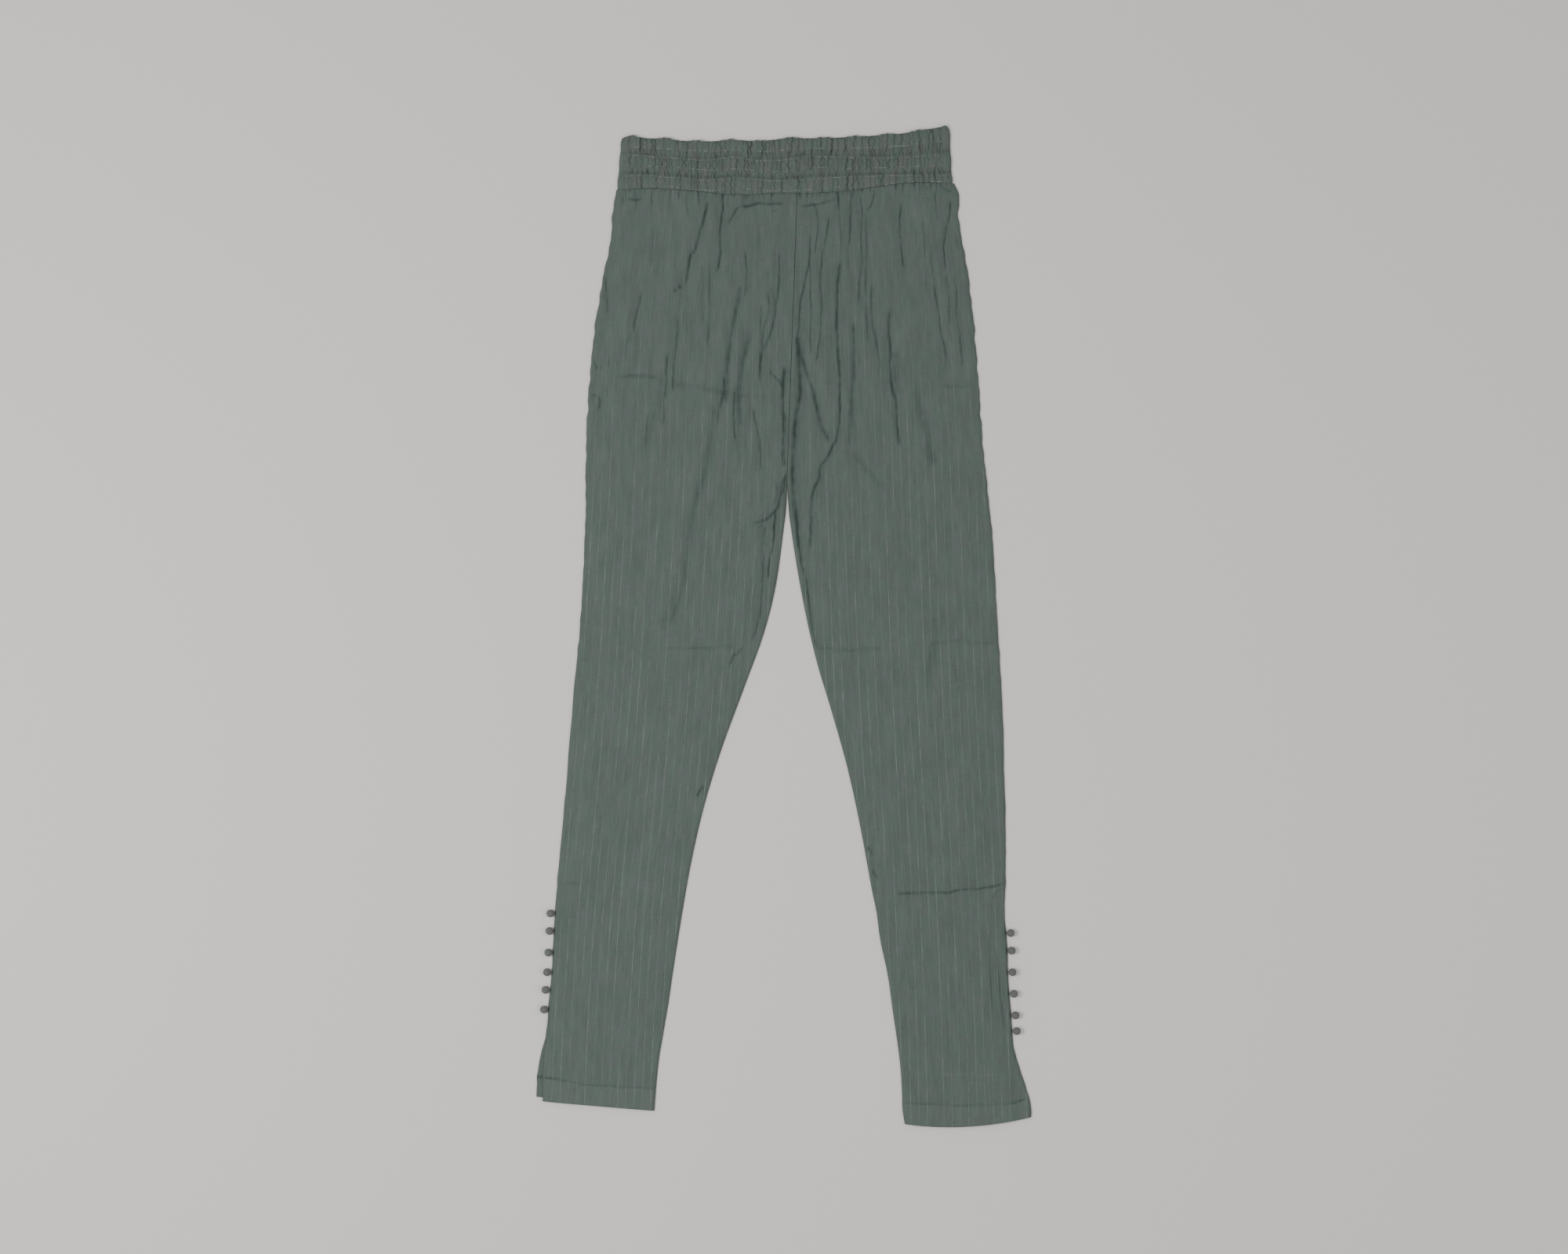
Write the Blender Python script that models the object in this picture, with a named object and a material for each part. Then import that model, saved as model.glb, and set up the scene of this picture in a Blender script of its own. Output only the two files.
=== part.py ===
"""Slim pull-on pants in pinstriped cotton, laid flat with the front up.

Metres, +Z up. The pants lie on the plane z = 0, with the waistband towards +Y and the hems towards
-Y. The origin is the middle of their outline on that plane. Left and right are the wearer's, so
the right leg is at -X. Each piece that is cut or sewn on is an object of its own: two fronts, two
backs, the front and back runs of the elastic waistband, and six ball buttons on each outer ankle.
"""
import math
from typing import NamedTuple

import bmesh
import bpy
import numpy as np
from mathutils import Matrix, Vector

# Walls and gaps
CLOTH = 0.0012              # wall of a leg panel
BAND_CLOTH = 0.0020         # wall of the waistband: cloth, elastic and cloth
SEAM_GAP = 0.0003           # between two pieces that meet
FOOT = 0.0003               # height at which a front's turned edge ends over the floor
BACK_TUCK = 0.0022          # how far a back stops inside the front's edge that turns down past it
BAND_TUCK = 0.0046          # the same at the sides of the waistband

# The front, where it rests on the back and where it stands off
FRONT_REST = CLOTH + SEAM_GAP
BAND_REST = BAND_CLOTH + SEAM_GAP
EDGE_TURN = 0.0035          # width of the turn at an outseam or inseam
BAND_TURN = 0.0050          # width of the turn at a side of the waistband
EDGE_EASE = 0.0003          # slack at an edge
FULLNESS = 0.0014           # slack in the middle of a panel
FULLNESS_REACH = 0.030      # distance from an edge to the full slack
FOLD_REACH = 0.008          # distance from an edge to a fold's full height

GATHER_IN_GROOVE = 0.35     # share of a gather's depth that is left in the stitched grooves

# Crotch, ankle slit and hem
CROTCH_Y = 0.156            # the front seam ends here and the two legs part
CROTCH_TURN = 0.018         # length over which the inner edges below it turn down
SLIT_TOP_Y = -0.400         # the right ankle's slit lies open below this
SLIT_TURN = 0.015           # length over which the edge above it turns down
HEM_DEPTH = 0.024           # turned-up hem
HEM_STEP = 0.0005           # the hem's extra layer, seen on the front
END_BEND = 0.050            # rows bend to the waist seam and to the hem within this length

# How finely the surfaces are divided
TURN_ANGLES = tuple(math.radians(angle) for angle in (0, 30, 60, 90))
FRONT_COLUMNS = 21          # between the two turned edges of a front
BACK_COLUMNS = 10
FINE_ROW = 0.0165           # row spacing of a front at the hips, where the folds are
COARSE_ROW = 0.042          # row spacing elsewhere
HIP_END_Y = 0.096           # the fine rows end here
BOW_STEPS = 10              # straight steps along a fold's bow
BAND_BACK_ROWS = 2
MERGE_DISTANCE = 0.00001
SHARP_ANGLE = math.radians(40)

# Ball buttons
BALL_RADIUS = 0.0041
SHANK_RADIUS = 0.0010
SHANK_LENGTH = 0.0006
BALL_STAND_OFF = 0.0043     # from the seam edge to the ball's centre
BALL_SEGMENTS = 10
BALL_ARCS = 6

COTTON = (0.110, 0.135, 0.122)       # dull grey-green, linear
BUTTON_CLOTH = (0.130, 0.145, 0.138)
CLOTH_ROUGHNESS = 0.9


class Point(NamedTuple):
    x: float
    y: float


class BandRow(NamedTuple):
    """A row along the waistband: its fraction of the way down, and its rise."""
    down: float
    rise: float


class Reach(NamedTuple):
    """How far something shows past an edge at a height y."""
    y: float
    reach: float


class Section(NamedTuple):
    """A row across a leg panel, from its outer edge to its inner edge."""
    outer_x: float
    outer_y: float
    inner_x: float
    inner_y: float


class Fold(NamedTuple):
    """A soft ridge or, where its rise is negative, a trough, bowed through three points."""
    x0: float
    y0: float
    x1: float
    y1: float
    x2: float
    y2: float
    rise: float
    width: float


class Gather(NamedTuple):
    """A crease across the waistband: where it leaves the top edge and the seam, and its depth."""
    top_x: float
    low_x: float
    depth: float


class Leg(NamedTuple):
    """One leg: its side of the body, its outline, its slit and its buttons."""
    name: str
    side: int               # -1 at -X, +1 at +X
    sections: tuple
    folds: tuple
    hem_sag: float          # how far the hem bows below a straight line
    slit_open: bool
    button_y: tuple


class PanelRows(NamedTuple):
    """A panel's rows: arrays of their ends, and how far each end turns down, from 0 to 1."""
    outer_x: np.ndarray
    outer_y: np.ndarray
    inner_x: np.ndarray
    inner_y: np.ndarray
    outer_turn: np.ndarray
    inner_turn: np.ndarray


# The waist seam's y at even steps from the right side to the left
WAIST_HALF = 0.172
WAIST_SEAM = (0.4460, 0.4472, 0.4440, 0.4407, 0.4428, 0.4429, 0.4476, 0.4530, 0.4525)

# The waistband's top edge from right to left
BAND_TOP = (
    Point(-0.1660, 0.4985), Point(-0.1580, 0.5010), Point(-0.1450, 0.4985),
    Point(-0.1200, 0.4980), Point(-0.1060, 0.4960), Point(-0.0800, 0.4950),
    Point(-0.0500, 0.4968), Point(-0.0220, 0.4952), Point(0.0000, 0.4985), Point(0.0400, 0.4985),
    Point(0.0800, 0.5003), Point(0.1200, 0.5033), Point(0.1400, 0.5065), Point(0.1600, 0.5100),
    Point(0.1655, 0.5104), Point(0.1690, 0.5075),
)
BAND_SIDES_TOP = (-0.1660, 0.1690)
BAND_SIDES_LOW = (-0.1704, 0.1722)

# Three padded channels with stitched grooves between them
BAND_ROWS = (
    BandRow(0.00, 0.0001), BandRow(0.05, 0.0006), BandRow(0.13, 0.0008), BandRow(0.20, 0.0003),
    BandRow(0.27, 0.0000), BandRow(0.34, 0.0004), BandRow(0.44, 0.0009), BandRow(0.54, 0.0004),
    BandRow(0.63, 0.0000), BandRow(0.73, 0.0004), BandRow(0.83, 0.0009), BandRow(0.93, 0.0003),
    BandRow(1.00, 0.0000),
)

GATHERS = (
    Gather(-0.157, -0.158, 0.0005), Gather(-0.146, -0.144, 0.0004), Gather(-0.132, -0.131, 0.0007),
    Gather(-0.121, -0.121, 0.0006), Gather(-0.108, -0.105, 0.0009), Gather(-0.099, -0.097, 0.0004),
    Gather(-0.089, -0.087, 0.0009), Gather(-0.080, -0.078, 0.0004), Gather(-0.069, -0.070, 0.0008),
    Gather(-0.060, -0.062, 0.0006), Gather(-0.047, -0.050, 0.0007), Gather(-0.035, -0.040, 0.0007),
    Gather(-0.025, -0.026, 0.0005), Gather(-0.011, -0.013, 0.0009), Gather(-0.004, -0.001, 0.0007),
    Gather(0.012, 0.017, 0.0009), Gather(0.020, 0.024, 0.0006), Gather(0.028, 0.031, 0.0005),
    Gather(0.039, 0.038, 0.0006), Gather(0.047, 0.046, 0.0005), Gather(0.055, 0.054, 0.0006),
    Gather(0.064, 0.064, 0.0007), Gather(0.072, 0.071, 0.0009), Gather(0.080, 0.078, 0.0006),
    Gather(0.090, 0.088, 0.0006), Gather(0.101, 0.102, 0.0006), Gather(0.112, 0.115, 0.0007),
    Gather(0.121, 0.123, 0.0006), Gather(0.128, 0.133, 0.0009), Gather(0.137, 0.143, 0.0009),
    Gather(0.146, 0.149, 0.0005), Gather(0.152, 0.155, 0.0008), Gather(0.159, 0.161, 0.0006),
)

# The straight centre seam, front and back alike, from the waist seam down to the crotch
CENTRE_WAIST = (0.0136, 0.4430)
CENTRE_CROTCH = (0.0032, CROTCH_Y)
CENTRE = None               # in a section's inner_x: the row ends at the centre seam

# Leg outlines from the waist seam to the hem
RIGHT_SECTIONS = (
    Section(-0.1712, 0.4460, CENTRE, 0.4425), Section(-0.1746, 0.4240, CENTRE, 0.4210),
    Section(-0.1777, 0.3920, CENTRE, 0.3890), Section(-0.1864, 0.3470, CENTRE, 0.3450),
    Section(-0.1936, 0.3020, CENTRE, 0.3010), Section(-0.1988, 0.2480, CENTRE, 0.2480),
    Section(-0.2016, 0.2000, CENTRE, 0.2000), Section(-0.2024, 0.1560, CENTRE, 0.1560),
    Section(-0.2024, 0.1380, 0.0031, 0.1380), Section(-0.2026, 0.1190, 0.0022, 0.1190),
    Section(-0.2030, 0.1010, 0.0000, 0.1010),
    Section(-0.2056, 0.0430, -0.0080, 0.0430), Section(-0.2090, -0.0080, -0.0208, -0.0080),
    Section(-0.2146, -0.0650, -0.0416, -0.0650), Section(-0.2196, -0.1260, -0.0640, -0.1260),
    Section(-0.2243, -0.1840, -0.0816, -0.1840), Section(-0.2297, -0.2400, -0.0944, -0.2400),
    Section(-0.2340, -0.2940, -0.1040, -0.2940), Section(-0.2367, -0.3450, -0.1120, -0.3450),
    Section(-0.2402, -0.3850, -0.1181, -0.3870), Section(-0.2408, -0.4000, -0.1208, -0.4020),
    Section(-0.2426, -0.4190, -0.1240, -0.4210), Section(-0.2443, -0.4350, -0.1268, -0.4370),
    Section(-0.2457, -0.4600, -0.1298, -0.4650), Section(-0.2462, -0.4840, -0.1320, -0.4936),
)
LEFT_SECTIONS = (
    Section(0.1745, 0.4525, CENTRE, 0.4425), Section(0.1788, 0.4400, CENTRE, 0.4320),
    Section(0.1776, 0.4200, CENTRE, 0.4160), Section(0.1810, 0.4000, CENTRE, 0.3960),
    Section(0.1848, 0.3780, CENTRE, 0.3740), Section(0.1900, 0.3430, CENTRE, 0.3410),
    Section(0.1942, 0.3050, CENTRE, 0.3040), Section(0.1966, 0.2740, CENTRE, 0.2740),
    Section(0.1993, 0.2400, CENTRE, 0.2400), Section(0.2018, 0.2000, CENTRE, 0.2000),
    Section(0.2060, 0.1560, CENTRE, 0.1560), Section(0.2080, 0.1380, 0.0034, 0.1380),
    Section(0.2100, 0.1190, 0.0046, 0.1190),
    Section(0.2117, 0.1040, 0.0064, 0.1040), Section(0.2147, 0.0620, 0.0128, 0.0620),
    Section(0.2176, 0.0100, 0.0225, 0.0100), Section(0.2204, -0.0370, 0.0336, -0.0370),
    Section(0.2231, -0.0850, 0.0480, -0.0850), Section(0.2246, -0.1420, 0.0640, -0.1420),
    Section(0.2261, -0.2000, 0.0768, -0.2000), Section(0.2261, -0.2640, 0.0886, -0.2640),
    Section(0.2250, -0.2900, 0.0943, -0.2920), Section(0.2274, -0.3200, 0.0980, -0.3200),
    Section(0.2288, -0.3550, 0.1056, -0.3550), Section(0.2312, -0.3900, 0.1104, -0.3900),
    Section(0.2340, -0.4250, 0.1152, -0.4220), Section(0.2388, -0.4450, 0.1184, -0.4480),
    Section(0.2472, -0.4700, 0.1200, -0.4740), Section(0.2515, -0.4860, 0.1206, -0.4920),
    Section(0.2524, -0.5000, 0.1230, -0.5072),
)

# The right leg's back flap past the front's slit edge
BACK_FLAP = (
    Reach(-0.484, 0.0064), Reach(-0.461, 0.0064), Reach(-0.451, 0.0055), Reach(-0.435, 0.0037),
    Reach(-0.419, 0.0010), Reach(-0.400, 0.0000),
)
FLAP_HEM_LIFT = 0.0040      # the flap's corner ends this far above the front's
FLAP_CORNER_Y = -0.460      # the lift starts here
FLAP_CORNER_BEND = 0.020    # length over which it grows

RIGHT_FOLDS = (
    Fold(-0.078, 0.438, -0.088, 0.392, -0.100, 0.350, -0.0014, 0.006),
    Fold(-0.090, 0.432, -0.101, 0.385, -0.114, 0.348, 0.0016, 0.008),
    Fold(-0.062, 0.442, -0.065, 0.400, -0.070, 0.362, -0.0014, 0.006),
    Fold(-0.070, 0.430, -0.076, 0.395, -0.085, 0.360, 0.0014, 0.007),
    Fold(-0.045, 0.430, -0.052, 0.420, -0.058, 0.408, -0.0010, 0.006),
    Fold(-0.039, 0.350, -0.055, 0.285, -0.060, 0.236, -0.0014, 0.007),
    Fold(-0.060, 0.236, -0.078, 0.165, -0.097, 0.085, -0.0014, 0.007),
    Fold(-0.050, 0.345, -0.067, 0.275, -0.076, 0.215, 0.0017, 0.009),
    Fold(-0.076, 0.215, -0.094, 0.150, -0.114, 0.060, 0.0015, 0.011),
    Fold(-0.036, 0.300, -0.045, 0.250, -0.044, 0.198, -0.0013, 0.006),
    Fold(-0.046, 0.300, -0.052, 0.255, -0.054, 0.205, 0.0012, 0.006),
    Fold(-0.004, 0.380, -0.008, 0.325, -0.024, 0.262, -0.0011, 0.006),
    Fold(-0.015, 0.372, -0.020, 0.322, -0.033, 0.270, 0.0013, 0.008),
    Fold(-0.145, 0.342, -0.151, 0.315, -0.154, 0.296, -0.0011, 0.006),
    Fold(-0.155, 0.342, -0.160, 0.315, -0.165, 0.285, 0.0010, 0.007),
    Fold(-0.109, 0.315, -0.111, 0.280, -0.120, 0.240, -0.0010, 0.006),
    Fold(-0.122, 0.310, -0.127, 0.262, -0.133, 0.215, 0.0011, 0.008),
    Fold(-0.032, 0.222, -0.028, 0.200, -0.023, 0.162, -0.0009, 0.006),
    Fold(0.003, 0.152, -0.006, 0.128, -0.024, 0.104, -0.0013, 0.006),
    Fold(-0.008, 0.160, -0.022, 0.134, -0.040, 0.112, 0.0014, 0.009),
    Fold(-0.021, 0.100, -0.022, 0.050, -0.028, -0.005, -0.0010, 0.006),
)
LEFT_FOLDS = (
    Fold(0.027, 0.400, 0.017, 0.335, 0.015, 0.285, -0.0013, 0.006),
    Fold(0.015, 0.285, 0.017, 0.235, 0.011, 0.165, -0.0014, 0.006),
    Fold(0.033, 0.395, 0.031, 0.340, 0.029, 0.290, 0.0013, 0.006),
    Fold(0.016, 0.285, 0.025, 0.248, 0.044, 0.195, -0.0014, 0.007),
    Fold(0.030, 0.285, 0.040, 0.245, 0.050, 0.212, 0.0014, 0.008),
    Fold(0.046, 0.410, 0.038, 0.365, 0.037, 0.295, -0.0012, 0.006),
    Fold(0.056, 0.368, 0.054, 0.290, 0.057, 0.208, -0.0014, 0.006),
    Fold(0.057, 0.208, 0.048, 0.180, 0.028, 0.122, -0.0014, 0.006),
    Fold(0.064, 0.365, 0.062, 0.290, 0.064, 0.210, 0.0014, 0.007),
    Fold(0.068, 0.446, 0.068, 0.415, 0.065, 0.386, -0.0012, 0.006),
    Fold(0.071, 0.310, 0.071, 0.250, 0.067, 0.180, -0.0011, 0.007),
    Fold(0.080, 0.432, 0.082, 0.380, 0.080, 0.330, -0.0013, 0.006),
    Fold(0.089, 0.350, 0.091, 0.305, 0.100, 0.262, -0.0011, 0.006),
    Fold(0.094, 0.425, 0.098, 0.370, 0.100, 0.315, 0.0011, 0.009),
    Fold(0.120, 0.436, 0.117, 0.402, 0.123, 0.362, -0.0011, 0.006),
    Fold(0.108, 0.322, 0.109, 0.270, 0.118, 0.186, -0.0014, 0.008),
    Fold(0.120, 0.300, 0.123, 0.260, 0.129, 0.212, 0.0012, 0.009),
    Fold(0.134, 0.242, 0.146, 0.200, 0.154, 0.158, -0.0012, 0.010),
    Fold(0.153, 0.352, 0.159, 0.305, 0.168, 0.266, -0.0011, 0.006),
    Fold(0.163, 0.350, 0.168, 0.305, 0.175, 0.268, 0.0011, 0.007),
    Fold(0.170, 0.432, 0.164, 0.395, 0.168, 0.345, -0.0012, 0.006),
    Fold(0.154, 0.446, 0.156, 0.420, 0.152, 0.398, -0.0009, 0.006),
    Fold(0.013, 0.118, 0.020, 0.058, 0.033, -0.020, -0.0011, 0.006),
)
# The raised strip where both fronts pinch together at the foot of the front seam
SEAM_PINCH = Fold(0.006, 0.246, 0.0045, 0.200, 0.004, 0.158, 0.0012, 0.005)

LEGS = (
    Leg("right", -1, RIGHT_SECTIONS, RIGHT_FOLDS, 0.0000, True,
        (-0.292, -0.310, -0.332, -0.352, -0.370, -0.390)),
    Leg("left", 1, LEFT_SECTIONS, LEFT_FOLDS, 0.0060, False,
        (-0.312, -0.330, -0.352, -0.374, -0.396, -0.412)),
)


def clear_objects():
    """Empty the file of its objects."""
    for item in list(bpy.data.objects):
        bpy.data.objects.remove(item, do_unlink=True)


def smooth(value):
    """Ease from 0 to 1."""
    value = np.clip(value, 0.0, 1.0)
    return value * value * (3.0 - 2.0 * value)


def blend(first, second, share):
    return first + (second - first) * share


def table_curve(column, position):
    """Read a table's column at fractional row numbers, on a smooth curve through its values."""
    column = np.asarray(column)
    last = len(column) - 1
    row = np.clip(np.floor(position).astype(int), 0, last - 1)
    step = position - row
    before, start, end, after = (column[np.clip(row + shift, 0, last)] for shift in (-1, 0, 1, 2))
    return 0.5 * (2 * start + (end - before) * step
                  + (2 * before - 5 * start + 4 * end - after) * step ** 2
                  + (3 * start - before - 3 * end + after) * step ** 3)


def line_through(points, place):
    """Read the value at a place on the straight runs through points, each a place and a value."""
    places, values = zip(*points)
    return np.interp(place, places, values)


def waist_seam(x):
    """y of the waist seam at x."""
    return table_curve(WAIST_SEAM, (x / WAIST_HALF + 1) / 2 * (len(WAIST_SEAM) - 1))


def centre_x(y):
    """x of the centre seam at y."""
    share = (y - CENTRE_CROTCH[1]) / (CENTRE_WAIST[1] - CENTRE_CROTCH[1])
    return blend(CENTRE_CROTCH[0], CENTRE_WAIST[0], share)


def bow_distance(fold, x, y):
    """Distance from each place to a fold's bow."""
    share = np.linspace(0.0, 1.0, BOW_STEPS + 1)
    from_start = (1 - share) * (1 - 2 * share)
    from_middle = 4 * share * (1 - share)
    from_end = share * (2 * share - 1)
    bow_x = from_start * fold.x0 + from_middle * fold.x1 + from_end * fold.x2
    bow_y = from_start * fold.y0 + from_middle * fold.y1 + from_end * fold.y2
    nearest = np.full(np.shape(x), np.inf)
    for k in range(BOW_STEPS):
        run_x, run_y = bow_x[k + 1] - bow_x[k], bow_y[k + 1] - bow_y[k]
        along = (x - bow_x[k]) * run_x + (y - bow_y[k]) * run_y
        along = np.clip(along / (run_x ** 2 + run_y ** 2), 0.0, 1.0)
        gap = np.hypot(x - bow_x[k] - along * run_x, y - bow_y[k] - along * run_y)
        nearest = np.minimum(nearest, gap)
    return nearest


def fold_rise(folds, x, y):
    """Height of all the folds together."""
    total = np.zeros(np.shape(x))
    for fold in folds:
        total += fold.rise * np.exp(-(bow_distance(fold, x, y) / fold.width) ** 2)
    return total


def row_stations(sections, hip_pitch):
    """Fractional section numbers of a panel's rows, hip_pitch apart at the hips."""
    stations = [0.0]
    for number, (upper, lower) in enumerate(zip(sections, sections[1:])):
        pitch = hip_pitch if lower.outer_y > HIP_END_Y else COARSE_ROW
        count = max(1, round((upper.outer_y - lower.outer_y) / pitch))
        stations += [number + (k + 1) / count for k in range(count)]
    return np.array(stations)


def panel_rows(leg, stations):
    """The rows of a leg's panels at fractional section numbers."""
    outer_x = table_curve([s.outer_x for s in leg.sections], stations)
    outer_y = table_curve([s.outer_y for s in leg.sections], stations)
    inner_ends = [centre_x(s.inner_y) if s.inner_x is CENTRE else s.inner_x
                  for s in leg.sections]
    inner_x = table_curve(inner_ends, stations)
    inner_y = table_curve([s.inner_y for s in leg.sections], stations)
    inner_x = inner_x + leg.side * SEAM_GAP / 2
    outer_turn = np.ones(len(stations))
    if leg.slit_open:
        outer_turn = smooth((outer_y - SLIT_TOP_Y) / SLIT_TURN)
    inner_turn = smooth((CROTCH_Y - inner_y) / CROTCH_TURN)
    return PanelRows(outer_x, outer_y, inner_x, inner_y, outer_turn, inner_turn)


def row_place(leg, rows, row, share):
    """x and y at a share of the way across a row, bowed to the waist seam and to the hem."""
    x = blend(rows.outer_x[row], rows.inner_x[row], share)
    y = blend(rows.outer_y[row], rows.inner_y[row], share)
    top = blend(leg.sections[0].outer_y, leg.sections[0].inner_y, share)
    near_waist = smooth(1.0 - (top - y) / END_BEND)
    y = y + near_waist * (waist_seam(x) - top)
    near_hem = smooth(1.0 - (y - leg.sections[-1].inner_y) / END_BEND)
    y = y - near_hem * leg.hem_sag * 4 * share * (1 - share)
    return x, y - SEAM_GAP / 2


def make_slab(name, columns, rows, place, colour):
    """A cloth piece: a grid extruded to a closed wall, with each vertex put in its place.

    place takes the column, the row and whether the point is on the upper side, as arrays.
    """
    bm = bmesh.new()
    bmesh.ops.create_grid(bm, x_segments=columns, y_segments=rows, size=1.0)
    lower = list(bm.verts)
    extruded = bmesh.ops.extrude_face_region(bm, geom=list(bm.faces))["geom"]
    upper = {item for item in extruded if isinstance(item, bmesh.types.BMVert)}
    vertices = lower + [vertex for vertex in bm.verts if vertex in upper]
    grid = np.array([(vertex.co.x, vertex.co.y) for vertex in vertices])
    column = np.rint((grid[:, 0] + 1.0) / 2.0 * columns).astype(int)
    row = np.rint((grid[:, 1] + 1.0) / 2.0 * rows).astype(int)
    is_upper = np.array([vertex in upper for vertex in vertices])
    for vertex, point in zip(vertices, place(column, row, is_upper)):
        vertex.co = point
    bmesh.ops.recalc_face_normals(bm, faces=list(bm.faces))
    mesh = bpy.data.meshes.new(name)
    bm.to_mesh(mesh)
    bm.free()
    return add_piece(name, mesh, colour)


def add_piece(name, mesh, colour):
    """Put a mesh in the scene as a smooth-shaded object with its own matt cloth material."""
    mesh.shade_smooth()
    mesh.set_sharp_from_angle(angle=SHARP_ANGLE)
    material = bpy.data.materials.new(name + "_cotton")
    material.use_nodes = True
    shader = material.node_tree.nodes["Principled BSDF"]
    shader.inputs["Base Color"].default_value = (*colour, 1.0)
    shader.inputs["Roughness"].default_value = CLOTH_ROUGHNESS
    shader.inputs["Metallic"].default_value = 0.0
    mesh.materials.append(material)
    piece = bpy.data.objects.new(name, mesh)
    bpy.context.scene.collection.objects.link(piece)
    return piece


def turned_edge(distance, height, angle, turn, width, wall, is_upper):
    """Bend a flat wall's edge down to the floor.

    distance and height are the flat wall's, angle is 0 at the edge and a right angle where the
    wall is flat again, and turn is how much of the bend there is.
    """
    inner = np.where(is_upper, 0.0, wall)
    bent_distance = inner + (width - inner) * (1 - np.cos(angle))
    bent_distance = np.where(angle < math.pi / 2, bent_distance, distance)
    bent_height = FOOT + (height - FOOT) * np.sin(angle)
    return blend(distance, bent_distance, turn), blend(height, bent_height, turn)


def column_layout(columns, width, turn_width):
    """Distances from the outer edge of the grid's columns, and the bend angles at both edges."""
    turns = len(TURN_ANGLES) - 1
    angles = np.array(TURN_ANGLES)
    edge = turn_width * (1 - np.cos(angles))
    flat = [turn_width + (width - 2 * turn_width) * k / columns for k in range(1, columns)]
    distances = np.concatenate([edge, flat, (width - edge)[::-1]])
    right_angle = np.full(columns + turns, math.pi / 2)
    outer_angle = np.concatenate([angles[:-1], right_angle])
    outer_angle = np.append(outer_angle, math.pi / 2)
    return distances, outer_angle, outer_angle[::-1]


def make_front(leg):
    """The front panel of a leg, with its folds, its turned edges and its hem."""
    rows = panel_rows(leg, row_stations(leg.sections, FINE_ROW))
    widths = np.abs(rows.inner_x - rows.outer_x)
    layout = [column_layout(FRONT_COLUMNS, width, EDGE_TURN) for width in widths]
    distances = np.array([row_layout[0] for row_layout in layout])
    _, outer_angle, inner_angle = layout[0]

    def place(column, row, is_upper):
        width = widths[row]
        outer_turn, inner_turn = rows.outer_turn[row], rows.inner_turn[row]
        from_outer = distances[row, column]
        flat_x, flat_y = row_place(leg, rows, row, from_outer / width)
        near_outer = smooth(from_outer / FULLNESS_REACH)
        near_inner = smooth((width - from_outer) / FULLNESS_REACH)
        fade = smooth(from_outer / FOLD_REACH)
        fade *= blend(1.0, smooth((width - from_outer) / FOLD_REACH), inner_turn)
        lift = EDGE_EASE + FULLNESS * near_outer * near_inner
        lift += fade * fold_rise((*leg.folds, SEAM_PINCH), flat_x, flat_y)
        lift = np.maximum(lift, 0.0)
        hem_y = blend(leg.sections[-1].outer_y, leg.sections[-1].inner_y, from_outer / width)
        hem = HEM_STEP * (flat_y < hem_y + HEM_DEPTH)
        height = FRONT_REST + lift + np.where(is_upper, CLOTH + hem, 0.0)
        distance, height = turned_edge(from_outer, height, outer_angle[column], outer_turn,
                                       EDGE_TURN, CLOTH, is_upper)
        from_inner, height = turned_edge(width - distance, height, inner_angle[column], inner_turn,
                                         EDGE_TURN, CLOTH, is_upper)
        x, y = row_place(leg, rows, row, 1.0 - from_inner / width)
        return np.stack([x, y, height], axis=1)

    make_slab(leg.name + "_front", distances.shape[1] - 1, len(widths) - 1, place, COTTON)


def make_back(leg):
    """The back panel of a leg: flat on the floor, and tucked in behind the front's edges."""
    rows = panel_rows(leg, row_stations(leg.sections, COARSE_ROW))
    widths = np.abs(rows.inner_x - rows.outer_x)

    def place(column, row, is_upper):
        width = widths[row]
        reach = np.zeros(len(row))
        if leg.slit_open:
            reach = line_through(BACK_FLAP, rows.outer_y[row])
        start = BACK_TUCK * rows.outer_turn[row] - reach
        end = width - BACK_TUCK * rows.inner_turn[row]
        across = column / BACK_COLUMNS
        x, y = row_place(leg, rows, row, blend(start, end, across) / width)
        if leg.slit_open:
            corner = smooth((FLAP_CORNER_Y - y) / FLAP_CORNER_BEND) * smooth(1 - 2 * across)
            y = y + corner * FLAP_HEM_LIFT
        return np.stack([x, y, np.where(is_upper, CLOTH, 0.0)], axis=1)

    make_slab(leg.name + "_back", BACK_COLUMNS, len(widths) - 1, place, COTTON)


def band_place(x, down):
    """x and y on the waistband, from x at the top edge's scale and the fraction down the band."""
    top = line_through(BAND_TOP, x)
    low = waist_seam(x) + SEAM_GAP / 2
    return blend(top, low, down)


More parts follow.
